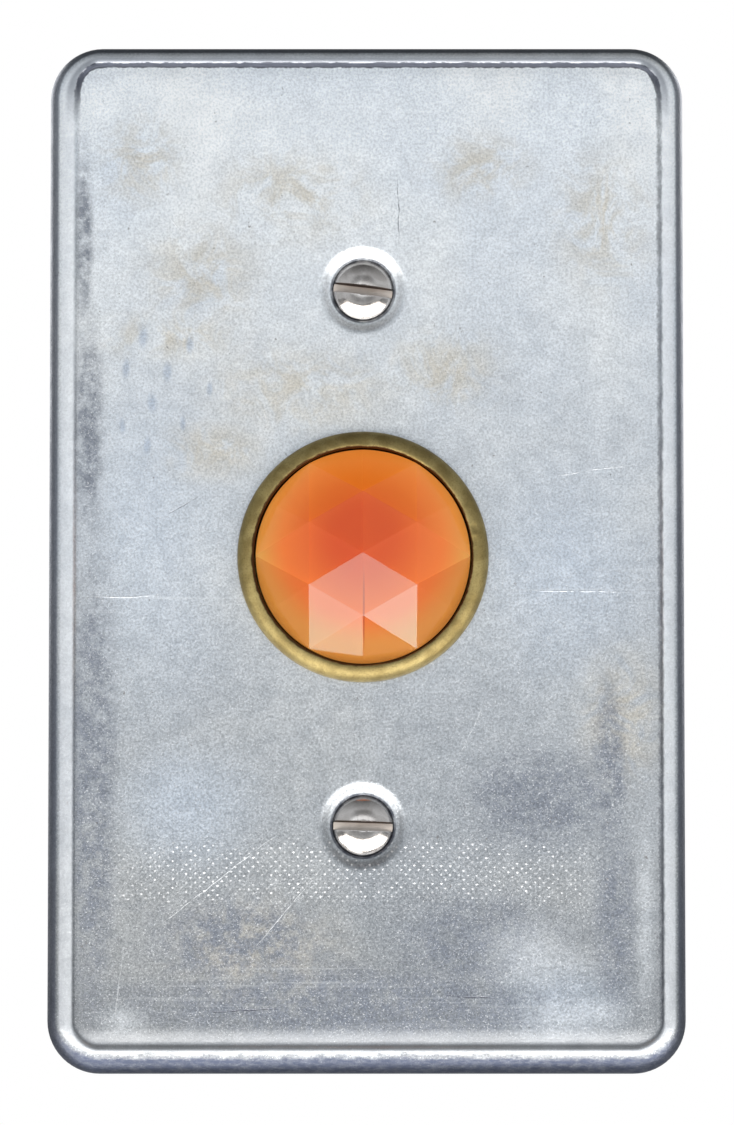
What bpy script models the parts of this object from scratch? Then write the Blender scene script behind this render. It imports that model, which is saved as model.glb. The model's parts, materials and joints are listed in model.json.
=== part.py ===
"""Illuminated push-button station: a pressed steel wall cover, a faceted jewel cap in a brass bezel that is
pushed in, and behind it the strap, switch body, moving contact, bayonet lamp and wire terminals.

Frame: X to the right, Y into the wall, Z up. The origin is on the button's axis, in the plane where the cover's
rim and the strap's ears meet the wall box. Lengths below are in millimetres, and "depth" means distance along +Y.
"""

import math

import bmesh
import bpy
from mathutils import Matrix, Vector

MM = 0.001
PROUD = 1.0  # how far a cutter runs past the face that it opens
CLEAR = 0.1  # gap between two pieces that rest on each other
FITTED = 0.2  # gap round a screw or pin in its hole

# Cover
COVER_WIDTH = 71.4
COVER_HEIGHT = 115.6
COVER_CORNER = 5.9
COVER_DEPTH = 6.0
COVER_GAUGE = 1.2
RIM_RADIUS = 2.3
PANEL_DEPTH = -5.6
PANEL_BACK = PANEL_DEPTH + COVER_GAUGE
CREASE_WIDTH = 0.5
COVER_HOLE = 13.15
SCREW_SPACING = 60.325
DIMPLE_RADIUS = 5.05
DIMPLE_DEPTH = -4.75
SEAT_RADIUS = 3.45

# Screws: 6-32 machine screws
SHANK = 1.75
OVAL_HEAD = 3.32
HEAD_SLOT = 1.1

# Bezel, washer and nut
BEZEL_OUTER = 14.1
BARREL_OUTER = 13.0
BEZEL_BORE = 12.25
BEZEL_FRONT = -7.4
BARREL_END = -1.7
WASHER_THICK = 0.5
NUT_THICK = 1.7
NUT_OUTER = 15.9

# Jewel and its sleeve
JEWEL_RADIUS = 12.0
FACET_EDGE = 6.95
DOME_RADIUS = 16.0
APEX_DEPTH = -12.8
SHOULDER_DEPTH = -5.3
NECK_RADIUS = 11.0
NECK_END = -3.6
SLEEVE_BORE = 11.2
SLEEVE_FRONT = -4.9
SLEEVE_END = 0.2
FLANGE_RADIUS = 13.6
FLANGE_FRONT = BARREL_END + CLEAR
FLANGE_BACK = FLANGE_FRONT + 0.8

# Button movement
TRAVEL = 3.2
CONTACT_GAP = 3.3

# Plunger and return spring
WEB_FRONT = 0.3
WEB_BACK = 1.6
WEB_BORE = 9.4
LEG_INNER = 8.6
LEG_OUTER = 11.8
LEG_HALF = 2.6
LEG_END = 13.6
SPRING_RADIUS = 12.9
SPRING_WIRE = 0.5
SPRING_TURNS = 3.5

# Strap
STRAP_GAUGE = 1.5
STRAP_JOGGLE = 0.8
STRAP_HALF = 18.0
STRAP_BODY_END = 26.6
EAR_START = 27.8
EAR_END = 52.4
EAR_HALF = 9.5
EAR_PAD_HALF = 11.5
EAR_PAD_START = 46.8
STRAP_HOLE = 14.6
BOX_SCREW_SPACING = 83.3

# Switch body
BLOCK_HALF_X = 17.5
BLOCK_HALF_Z = 26.0
BLOCK_FRONT = 1.1
BLOCK_BACK = 31.0
REAR_FRONT = BLOCK_BACK + CLEAR
REAR_BACK = REAR_FRONT + 2.4
WELL_RADIUS = 14.2
WELL_FLOOR = 10.0
BODY_SCREW_Z = 21.5
BODY_SCREW = 1.5
CHAMBER_X = 13.0
CHAMBER_LOW = -16.0
CHAMBER_HIGH = -7.2
CHAMBER_FRONT = 13.0
POCKET_X = 14.5
POCKET_Z = 15.5
POCKET_FRONT = 9.0
STRIP = 1.0

# Contacts
LEG_Z = -(LEG_INNER + LEG_OUTER) / 2
PIN_RADIUS = 0.9
PIN_FRONT = 9.6
BRIDGE_HALF_X = 10.0
BRIDGE_HALF_Z = 1.3
BRIDGE_FRONT = 16.3
BRIDGE_BACK = 17.1
TIP_X = 8.0
TIP_RADIUS = 1.4
TIP_THICK = 0.8
STRIP_FRONT = BRIDGE_BACK + TIP_THICK + CONTACT_GAP + TIP_THICK

# Terminals
TERMINAL_Z = 19.5
TERMINAL_DEPTH = 15.0
TERMINAL_HEAD = 3.3
TAB_X = 14.6
TAB_FRONT = 11.7
TAB_END_Z = 23.5

# Lamp and socket
GLASS_RADIUS = 5.0
GLASS_FRONT = 1.6
GLASS_WALL = 0.5
BASE_RADIUS = 4.6
BASE_FRONT = 19.4
BASE_BACK = 28.9
LAMP_PIN_DEPTH = 22.4
LAMP_PIN_RADIUS = 0.9
LAMP_PIN_REACH = 5.5
SOCKET_BORE = 4.85
SOCKET_OUTER = 5.35
SOCKET_FRONT = 18.5
SOCKET_BACK = 29.4
UNLOCK_ANGLE = 22.0
LAMP_BORE = 5.65
TIP_END = 29.5
LEAF_FRONT = 29.8
CHANNEL_FRONT = 29.5
LAMP_STRIP_FRONT = 29.6

FINISHES = {
    "galvanised_steel": ((0.62, 0.66, 0.70), 0.42, 1.0),
    "bright_nickel": ((0.72, 0.70, 0.67), 0.25, 1.0),
    "aged_brass": ((0.52, 0.40, 0.16), 0.42, 1.0),
    "amber_glass": ((0.82, 0.26, 0.05), 0.08, 0.0),
    "clear_glass": ((0.93, 0.95, 0.95), 0.05, 0.0),
    "brown_phenolic": ((0.12, 0.055, 0.03), 0.4, 0.0),
    "black_phenolic": ((0.03, 0.03, 0.032), 0.45, 0.0),
    "spring_steel": ((0.45, 0.45, 0.46), 0.3, 1.0),
    "silver": ((0.85, 0.84, 0.81), 0.28, 1.0),
    "phosphor_bronze": ((0.62, 0.36, 0.2), 0.35, 1.0),
    "seal_rubber": ((0.03, 0.03, 0.03), 0.8, 0.0),
    "tungsten": ((0.3, 0.29, 0.27), 0.4, 1.0),
    "solder": ((0.6, 0.61, 0.62), 0.35, 1.0),
}


# ---------------------------------------------------------------- scene and materials


def clear_scene():
    for item in list(bpy.data.objects):
        bpy.data.objects.remove(item, do_unlink=True)


def new_collection(name):
    collection = bpy.data.collections.new(name)
    bpy.context.scene.collection.children.link(collection)
    return collection


def make_material(name):
    colour, roughness, metallic = FINISHES[name]
    material = bpy.data.materials.new(name)
    material.use_nodes = True
    shader = material.node_tree.nodes["Principled BSDF"]
    shader.inputs["Base Color"].default_value = (*colour, 1.0)
    shader.inputs["Roughness"].default_value = roughness
    shader.inputs["Metallic"].default_value = metallic
    return material


clear_scene()
PARTS = new_collection("push_button_station")
CUTTERS = new_collection("cutters")
MATERIALS = {name: make_material(name) for name in FINISHES}


# ---------------------------------------------------------------- shapes


def add_object(name, mesh, finish, location=(0, 0, 0), rotation=None):
    """Links a mesh that is already in metres as one named piece; the location is in millimetres."""
    piece = bpy.data.objects.new(name, mesh)
    PARTS.objects.link(piece)
    piece.location = Vector(location) * MM
    if rotation is not None:
        piece.rotation_euler = rotation
    if finish:
        mesh.materials.clear()
        mesh.materials.append(MATERIALS[finish])
    return piece


def mesh_from(bm, name):
    mesh = bpy.data.meshes.new(name)
    bm.to_mesh(mesh)
    bm.free()
    return mesh


def shade_round(piece):
    piece.data.shade_smooth()
    piece.data.set_sharp_from_angle(angle=math.radians(35))


def facing(inward):
    """The rotation that lays local -Z along the direction in which depth grows."""
    return Vector((0, 0, -1)).rotation_difference(Vector(inward)).to_euler()


def turned(name, profile, finish=None, inward=(0, 1, 0), at=(0, 0, 0), steps=32, ring=False):
    """Turns (radius, depth) points about the piece's axis. The profile runs from front to back down the
    outer side; a ring's profile then comes back up its bore and closes on itself."""
    mesh = bpy.data.meshes.new(name)
    count = len(profile)
    edges = [(i, (i + 1) % count) for i in range(count if ring else count - 1)]
    mesh.from_pydata([(r * MM, 0, -depth * MM) for r, depth in profile], edges, [])
    piece = add_object(name, mesh, finish, at, facing(inward))
    turn = piece.modifiers.new("Turn", "SCREW")
    turn.axis = "Z"
    turn.steps = steps
    turn.render_steps = steps
    turn.use_merge_vertices = True
    turn.merge_threshold = 0.000001
    return piece


def tube(name, inner, outer, front, back, finish=None, **placing):
    """A plain ring between two radii and two depths."""
    profile = [(outer, front), (outer, back), (inner, back), (inner, front)]
    return turned(name, profile, finish, ring=True, **placing)


def rod(name, radius, front, back, finish=None, **placing):
    """A plain round bar between two depths."""
    profile = [(0, front), (radius, front), (radius, back), (0, back)]
    return turned(name, profile, finish, **placing)


def box(name, low, high, finish=None, bevel=0.0):
    """A block between two corners, with its origin in its middle and its edges rounded on request."""
    size = Vector(high) - Vector(low)
    bm = bmesh.new()
    bmesh.ops.create_cube(bm, size=1.0, matrix=Matrix.Diagonal((*(size * MM), 1.0)))
    piece = add_object(name, mesh_from(bm, name), finish, (Vector(low) + Vector(high)) / 2)
    if bevel:
        edge = piece.modifiers.new("Edges", "BEVEL")
        edge.width = bevel * MM
        edge.segments = 2
    return piece


def rounded(corners, radius, steps=4):
    """The outline through the corners, each rounded by an arc; a radius can be given for each corner."""
    radii = radius if isinstance(radius, (list, tuple)) else [radius] * len(corners)
    points = []
    for i, corner in enumerate(corners):
        here = Vector(corner)
        if not radii[i]:
            points.append(here)
            continue
        before = (Vector(corners[i - 1]) - here).normalized()
        after = (Vector(corners[(i + 1) % len(corners)]) - here).normalized()
        half = before.angle(after) / 2
        centre = here + (before + after).normalized() * (radii[i] / math.sin(half))
        start = here + before * (radii[i] / math.tan(half)) - centre
        sweep = math.pi - 2 * half
        turn = 1 if before.cross(after) < 0 else -1
        for k in range(steps + 1):
            angle = turn * sweep * k / steps
            points.append(centre + Matrix.Rotation(angle, 2) @ start)
    return points


def circle(x, z, radius, steps=24):
    return [
        (x + radius * math.cos(2 * math.pi * k / steps), z + radius * math.sin(2 * math.pi * k / steps))
        for k in range(steps)
    ]


def drawn_prism(name, loops, thickness):
    """The mesh of a flat drawing, its inner loops being holes, extruded both ways from its own plane."""
    curve = bpy.data.curves.new(name, "CURVE")
    curve.dimensions = "2D"
    curve.fill_mode = "BOTH"
    curve.extrude = thickness / 2 * MM
    for loop in loops:
        spline = curve.splines.new("POLY")
        spline.points.add(len(loop) - 1)
        spline.use_cyclic_u = True
        for point, (across, up) in zip(spline.points, loop):
            point.co = (across * MM, up * MM, 0, 1)
    drawing = bpy.data.objects.new(name + "_outline", curve)
    PARTS.objects.link(drawing)
    return solid_mesh(drawing, name)


def plate(name, loops, front, back, finish=None):
    """A flat plate from closed (x, z) outlines, the inner ones being holes, between two depths."""
    mesh = drawn_prism(name, loops, back - front)
    return add_object(name, mesh, finish, (0, (front + back) / 2, 0), facing((0, 1, 0)))


def solid_mesh(drawing, name):
    """The curve object's evaluated shape as a mesh with its caps welded on; the curve is removed."""
    evaluated = drawing.evaluated_get(bpy.context.evaluated_depsgraph_get())
    mesh = bpy.data.meshes.new_from_object(evaluated)
    mesh.name = name
    bm = bmesh.new()
    bm.from_mesh(mesh)
    bmesh.ops.remove_doubles(bm, verts=bm.verts, dist=0.000001)
    bmesh.ops.recalc_face_normals(bm, faces=bm.faces)
    bm.to_mesh(mesh)
    bm.free()
    bpy.data.objects.remove(drawing, do_unlink=True)
    return mesh


def wire(name, points, radius, finish):
    """A round wire through (x, depth, z) points, with closed ends."""
    curve = bpy.data.curves.new(name, "CURVE")
    curve.dimensions = "3D"
    curve.bevel_depth = radius * MM
    curve.bevel_resolution = 2
    curve.use_fill_caps = True
    spline = curve.splines.new("POLY")
    spline.points.add(len(points) - 1)
    for point, place in zip(spline.points, points):
        point.co = (*(Vector(place) * MM), 1)
    drawing = bpy.data.objects.new(name, curve)
    PARTS.objects.link(drawing)
    curve.materials.append(MATERIALS[finish])
    return drawing


def helix(radius, wire_radius, turns, front, back, at_z=0.0, per_turn=14):
    """Points of a compression spring along +Y between two depths, with a closed turn at each end."""
    closed = 0.75
    pitch_share = turns / (turns + 2 * closed)
    first = front + wire_radius
    last = back - wire_radius
    total = turns + 2 * closed
    count = round(total * per_turn)
    points = []
    for k in range(count + 1):
        turned_so_far = total * k / count
        along = min(max((turned_so_far - closed) / turns, 0.0), 1.0)
        end_turn = closed * 2 * wire_radius * (1 - pitch_share)
        depth = first + end_turn * min(turned_so_far / closed, 1.0)
        depth += (last - first - 2 * end_turn) * along
        depth += end_turn * max((turned_so_far - closed - turns) / closed, 0.0)
        angle = 2 * math.pi * turned_so_far
        points.append((radius * math.cos(angle), depth, at_z + radius * math.sin(angle)))
    return points


def combine(body, operation, *tools):
    """Cuts or joins tools into the body with live Boolean modifiers."""
    for tool in tools:
        modifier = body.modifiers.new(operation.title(), "BOOLEAN")
        modifier.operation = operation
        modifier.object = tool
        PARTS.objects.unlink(tool)
        CUTTERS.objects.link(tool)
        tool.hide_render = True
        tool.display_type = "WIRE"
    return body


def cut(body, *tools):
    return combine(body, "DIFFERENCE", *tools)


def join(body, *tools):
    return combine(body, "UNION", *tools)


def axis_empty(name, at):
    empty = bpy.data.objects.new(name, None)
    PARTS.objects.link(empty)
    empty.location = Vector(at) * MM
    return empty


def hang_on(empty, pieces):
    """Parents pieces to an empty on their joint's axis without moving them."""
    bpy.context.view_layer.update()
    for piece in pieces:
        piece.parent = empty
        piece.matrix_parent_inverse = empty.matrix_world.inverted()


# ---------------------------------------------------------------- cover and bezel


def cover_outline(steps=5):
    x = COVER_WIDTH / 2
    z = COVER_HEIGHT / 2
    return rounded([(-x, -z), (x, -z), (x, z), (-x, z)], COVER_CORNER, steps)


def rim_steps(steps=4):
    """(inset, rise) moves that carry the front face from the wall's top over the rolled rim to the panel."""
    quarter = [math.pi / 2 * k / steps for k in range(steps + 1)]
    curve = [(RIM_RADIUS * (1 - math.cos(a)), RIM_RADIUS * math.sin(a)) for a in quarter]
    moves = [(b[0] - a[0], b[1] - a[1]) for a, b in zip(curve, curve[1:])]
    return moves + [(CREASE_WIDTH, -COVER_DEPTH - PANEL_DEPTH)]


def cover_plate():
    bm = bmesh.new()
    ring = [bm.verts.new((x * MM, z * MM, 0)) for x, z in cover_outline()]
    back = bm.faces.new(ring)
    grown = bmesh.ops.extrude_face_region(bm, geom=[back])["geom"]
    front = next(item for item in grown if isinstance(item, bmesh.types.BMFace))
    wall = (COVER_DEPTH - RIM_RADIUS) * MM
    bmesh.ops.translate(bm, verts=front.verts, vec=(0, 0, wall))
    for inset, rise in rim_steps():
        bmesh.ops.inset_region(bm, faces=[front], thickness=inset * MM, depth=rise * MM, use_even_offset=True)
    bmesh.ops.delete(bm, geom=[back], context="FACES_ONLY")
    bmesh.ops.recalc_face_normals(bm, faces=bm.faces)
    piece = add_object("cover_plate", mesh_from(bm, "cover_plate"), "galvanised_steel", (0, 0, 0), facing((0, 1, 0)))
    sheet = piece.modifiers.new("Gauge", "SOLIDIFY")
    sheet.thickness = COVER_GAUGE * MM
    sheet.offset = -1
    sheet.use_even_offset = True
    cut(piece, rod("cover_hole", COVER_HOLE, -COVER_DEPTH - PROUD, 0, steps=48))
    for end, z in (("top", SCREW_SPACING / 2), ("bottom", -SCREW_SPACING / 2)):
        join(piece, dimple_cup("dimple_cup_" + end, z))
        cut(piece, dimple_seat("dimple_seat_" + end, z))
    return piece


def dimple_cup(name, z):
    """The bulge that the pressed screw seat leaves on the cover's back."""
    profile = [(0, PANEL_BACK - 0.4), (6.2, PANEL_BACK - 0.4), (6.2, PANEL_BACK), (4.3, -2.9), (0, -2.9)]
    return turned(name, profile, at=(0, 0, z), steps=24)


def dimple_seat(name, z):
    """The dished seat and countersunk hole that the oval head sits in."""
    profile = [
        (0, PANEL_DEPTH - PROUD),
        (DIMPLE_RADIUS + PROUD, PANEL_DEPTH - PROUD),
        (DIMPLE_RADIUS, PANEL_DEPTH),
        (SEAT_RADIUS, DIMPLE_DEPTH),
        (2.0, -3.4),
        (2.0, -2.9 + PROUD),
        (0, -2.9 + PROUD),
    ]
    return turned(name, profile, at=(0, 0, z), steps=24)


def bezel():
    """Flange with a sharp inner lip and a rounded outer edge, on a barrel that passes through the cover."""
    flange_back = PANEL_DEPTH - CLEAR
    lip = 0.15
    inner = BEZEL_BORE + lip
    angles = [math.pi / 2 * k / 6 for k in range(7)]
    crown = [(BEZEL_BORE, BEZEL_FRONT + lip)]
    for angle in angles:
        reach = inner + (BEZEL_OUTER - inner) * math.sin(angle)
        crown.append((reach, flange_back - (flange_back - BEZEL_FRONT) * math.cos(angle)))
    profile = crown + [(BARREL_OUTER, flange_back), (BARREL_OUTER, BARREL_END), (BEZEL_BORE, BARREL_END)]
    return turned("bezel", profile, "aged_brass", steps=40, ring=True)


def bezel_washer():
    front = PANEL_BACK + CLEAR
    return tube("bezel_washer", COVER_HOLE, 15.5, front, front + WASHER_THICK, "galvanised_steel", steps=32)


def bezel_nut():
    """Round nut with four spanner notches."""
    front = PANEL_BACK + CLEAR + WASHER_THICK + CLEAR
    back = front + NUT_THICK
    nut = tube("bezel_nut", BARREL_OUTER + CLEAR, NUT_OUTER, front, back, "aged_brass", steps=32)
    slot_floor = NUT_OUTER - 1.2
    for k in range(4):
        angle = math.radians(45 + 90 * k)
        notch = box("nut_notch_%d" % k, (slot_floor, front - PROUD, -1.5), (NUT_OUTER + PROUD, back + PROUD, 1.5))
        notch.location = Matrix.Rotation(angle, 3, "Y") @ notch.location
        notch.rotation_euler = (0, angle, 0)
        cut(nut, notch)
    return nut


# ---------------------------------------------------------------- screws


def slot_tool(name, at, depth_range, inward=(0, 1, 0), width=HEAD_SLOT, tilt=0.0, reach=5.0):
    """A thin bar across a screw head, turned by tilt degrees about the screw's axis."""
    front, back = depth_range
    bar = box(name, (-reach, front, -width / 2), (reach, back, width / 2))
    offset = Vector((0, (front + back) / 2, 0))
    tilted = Matrix.Rotation(math.radians(tilt), 3, "Y")
    aim = Vector((0, 1, 0)).rotation_difference(Vector(inward)).to_matrix()
    bar.rotation_euler = (aim @ tilted).to_euler()
    bar.location = (Vector(at) + aim @ offset) * MM
    return bar


def plate_screw(end, z, tilt):
    """Oval-head screw that holds the cover to the strap."""
    head_edge = DIMPLE_DEPTH
    profile = [(0, -5.9)]
    profile += [(1.2, -5.8), (2.3, -5.45), (3.0, -5.05), (OVAL_HEAD, head_edge)]
    profile += [(SHANK, -3.35), (SHANK, 7.6), (SHANK - 0.4, 7.95), (0, 7.95)]
    screw = turned("plate_screw_" + end, profile, "bright_nickel", at=(0, 0, z), steps=20)
    return cut(screw, slot_tool("plate_slot_" + end, (0, 0, z), (-7.0, -4.7), tilt=tilt))


def pan_screw(name, at, head, shank, length, finish, inward=(0, 1, 0), head_height=1.6, tilt=0.0):
    """Slotted pan-head screw whose head rests at depth 0 of its own place and whose shank runs inward."""
    profile = [
        (0, -head_height),
        (head * 0.7, -head_height),
        (head, -head_height * 0.55),
        (head, 0),
        (shank, 0),
        (shank, length - 0.4),
        (shank - 0.4, length),
        (0, length),
    ]
    screw = turned(name, profile, finish, inward=inward, at=at, steps=16)
    slot = slot_tool(name + "_slot", at, (-head_height - PROUD, -head_height * 0.45), inward, 0.9, tilt)
    return cut(screw, slot)


def strap_screw(end, z):
    at = (0, -STRAP_GAUGE - CLEAR, z)
    return pan_screw("strap_screw_" + end, at, 3.4, SHANK, 18.0, "galvanised_steel", tilt=25)


def body_screw(end, z):
    front = STRAP_JOGGLE - STRAP_GAUGE
    length = REAR_BACK + 2.6 - front
    at = (0, front - CLEAR, z)
    return pan_screw("body_screw_" + end, at, 2.8, BODY_SCREW, length, "galvanised_steel", tilt=-15)


def body_nut(end, z):
    front = REAR_BACK + CLEAR
    nut = rod("body_nut_" + end, 3.1, front, front + 2.0, "galvanised_steel", at=(0, 0, z), steps=6)
    hole = rod("body_nut_hole_" + end, BODY_SCREW + CLEAR, front - PROUD, front + 2.0 + PROUD, at=(0, 0, z), steps=16)
    return cut(nut, hole)


# ---------------------------------------------------------------- jewel, sleeve, plunger and spring


def facet_points():
    """Corners of a triangular lattice laid on the dome, carried straight back from its outermost ring."""
    apex = APEX_DEPTH
    rings = [(FACET_EDGE, 30), (FACET_EDGE * math.sqrt(3), 0), (FACET_EDGE * 2, 30)]
    points = [(0, apex, 0)]
    for radius, first in rings:
        drop = DOME_RADIUS - math.sqrt(DOME_RADIUS**2 - radius**2)
        for k in range(6):
            angle = math.radians(first + 60 * k)
            points.append((radius * math.cos(angle), apex + drop, radius * math.sin(angle)))
            points.append((radius * math.cos(angle), NECK_END + 2 * PROUD, radius * math.sin(angle)))
    return points


def facet_tool():
    bm = bmesh.new()
    for point in facet_points():
        bm.verts.new(Vector(point) * MM)
    hull = bmesh.ops.convex_hull(bm, input=bm.verts)
    loose = [item for item in hull["geom_unused"] + hull["geom_interior"] if isinstance(item, bmesh.types.BMVert)]
    bmesh.ops.delete(bm, geom=list(set(loose)), context="VERTS")
    bmesh.ops.recalc_face_normals(bm, faces=bm.faces)
    return add_object("facets", mesh_from(bm, "facets"), None)


def jewel_lens():
    """Glass cap: faceted dome, plain girdle, and a grooved neck with a hollow back."""
    groove = NECK_RADIUS - 0.7
    profile = [
        (0, APEX_DEPTH - PROUD),
        (JEWEL_RADIUS, APEX_DEPTH - PROUD),
        (JEWEL_RADIUS, SHOULDER_DEPTH),
        (NECK_RADIUS, SHOULDER_DEPTH),
        (NECK_RADIUS, -4.7),
        (groove, -4.7),
        (groove, -3.9),
        (NECK_RADIUS, -3.9),
        (NECK_RADIUS, NECK_END),
        (9.0, NECK_END),
        (7.5, -5.2),
        (4.0, -6.4),
        (0, -6.8),
    ]
    lens = turned("jewel_lens", profile, "amber_glass", steps=40)
    return combine(lens, "INTERSECT", facet_tool())


def lens_seal():
    return tube("lens_seal", NECK_RADIUS + CLEAR, 11.9, SHOULDER_DEPTH + 0.05, SLEEVE_FRONT - 0.05, "seal_rubber")


def lens_snap_ring():
    """Split wire ring that sits in the neck's groove and the sleeve's groove."""
    ring = tube("lens_snap_ring", 10.45, 11.4, -4.6, -4.0, "spring_steel", steps=32)
    return cut(ring, box("snap_gap", (9, -6, -1.2), (13, -3, 1.2)))


def button_sleeve():
    """Brass guide that carries the jewel and slides in the bezel; its flange stops on the bezel's barrel."""
    groove = SLEEVE_BORE + 0.3
    outer = JEWEL_RADIUS
    profile = [
        (outer, SLEEVE_FRONT),
        (outer, FLANGE_FRONT),
        (FLANGE_RADIUS, FLANGE_FRONT),
        (FLANGE_RADIUS, FLANGE_BACK),
        (outer, FLANGE_BACK),
        (outer, SLEEVE_END),
        (SLEEVE_BORE, SLEEVE_END),
        (SLEEVE_BORE, -3.9),
        (groove, -3.9),
        (groove, -4.7),
        (SLEEVE_BORE, -4.7),
        (SLEEVE_BORE, SLEEVE_FRONT),
    ]
    return turned("button_sleeve", profile, "aged_brass", steps=32, ring=True)


def plunger():
    """Moulded ring behind the sleeve, with two legs that run in the switch body."""
    front = FLANGE_BACK + CLEAR
    profile = [
        (FLANGE_RADIUS, front),
        (FLANGE_RADIUS, WEB_BACK),
        (WEB_BORE, WEB_BACK),
        (WEB_BORE, WEB_FRONT),
        (JEWEL_RADIUS + CLEAR, WEB_FRONT),
        (JEWEL_RADIUS + CLEAR, front),
    ]
    ring = turned("plunger", profile, "black_phenolic", steps=32, ring=True)
    for side, low, high in (("upper", LEG_INNER, LEG_OUTER), ("lower", -LEG_OUTER, -LEG_INNER)):
        inner = WEB_BORE - 0.8
        low_z, high_z = (inner, high) if side == "upper" else (low, -inner)
        join(ring, box(side + "_leg", (-LEG_HALF, WEB_FRONT + 0.4, low_z), (LEG_HALF, LEG_END, high_z)))
    pin_hole = rod("pin_hole", PIN_RADIUS + CLEAR, PIN_FRONT - 0.4, LEG_END + PROUD, at=(0, 0, LEG_Z), steps=16)
    return cut(ring, pin_hole)


def return_spring():
    points = helix(SPRING_RADIUS, SPRING_WIRE, SPRING_TURNS, WEB_BACK + CLEAR, WELL_FLOOR - CLEAR)
    return wire("return_spring", points, SPRING_WIRE, "spring_steel")


# ---------------------------------------------------------------- strap and switch body


def mounting_strap():
    """Single-gang strap: joggled ears that rest on the wall box, and a body that carries the switch."""
    neck_start = STRAP_BODY_END + 0.8
    half = [
        (STRAP_HALF, neck_start),
        (EAR_HALF, neck_start + 4.0),
        (EAR_HALF, EAR_PAD_START),
        (EAR_PAD_HALF, EAR_PAD_START + 1.0),
        (EAR_PAD_HALF, EAR_END),
    ]
    right = [(x, -z) for x, z in reversed(half)] + half
    corners = right + [(-x, z) for x, z in reversed(right)]
    radii = [2.5, 0.6, 0.6, 3.0, 2.0]
    outline = rounded(corners, radii + radii[::-1] + radii + radii[::-1], 3)
    slot_reach, slot_half = 4.2, 2.1
    loops = [outline, circle(0, 0, STRAP_HOLE, 32)]
    for sign in (1, -1):
        z = sign * BOX_SCREW_SPACING / 2
        x = slot_reach
        slot = [(-x, z - slot_half), (x, z - slot_half), (x, z + slot_half), (-x, z + slot_half)]
        loops.append(rounded(slot, slot_half - 0.01, 5))
        loops.append(circle(0, sign * SCREW_SPACING / 2, SHANK + FITTED, 20))
        loops.append(circle(0, sign * BODY_SCREW_Z, BODY_SCREW + FITTED, 16))
    strap = plate("mounting_strap", loops, -STRAP_GAUGE - 3, STRAP_JOGGLE + 3, "galvanised_steel")
    return combine(strap, "INTERSECT", joggle_tool())


def joggle_tool():
    """The strap's side view, a joggled bar, swept across its width."""
    upper = [(0, EAR_END + PROUD), (0, EAR_START), (STRAP_JOGGLE, STRAP_BODY_END)]
    back = upper + [(depth, -z) for depth, z in reversed(upper)]
    front = [(depth - STRAP_GAUGE, z) for depth, z in reversed(back)]
    mesh = drawn_prism("joggle", [back + front], 2 * (STRAP_HALF + PROUD))
    drawn_to_side = Matrix(((0, 0, 1), (1, 0, 0), (0, 1, 0)))
    return add_object("joggle", mesh, None, (0, 0, 0), drawn_to_side.to_euler())


def pocket(name, side, end):
    """Open corner of the switch body where a wire meets its terminal screw."""
    x = sorted((side * POCKET_X, side * (BLOCK_HALF_X + PROUD)))
    z = sorted((end * POCKET_Z, end * (BLOCK_HALF_Z + PROUD)))
    return box(name, (x[0], POCKET_FRONT, z[0]), (x[1], BLOCK_BACK + PROUD, z[1]))


def side_slot(name, side, end, start_z):
    """Slot behind the body's side wall for the strip that runs from inside to the terminal pocket."""
    x = sorted((side * (POCKET_X - 0.01), side * (TAB_X + STRIP + FITTED)))
    z = sorted((end * start_z, end * (POCKET_Z + PROUD)))
    return box(name, (x[0], TAB_FRONT - 0.3, z[0]), (x[1], BLOCK_BACK + PROUD, z[1]))


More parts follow.
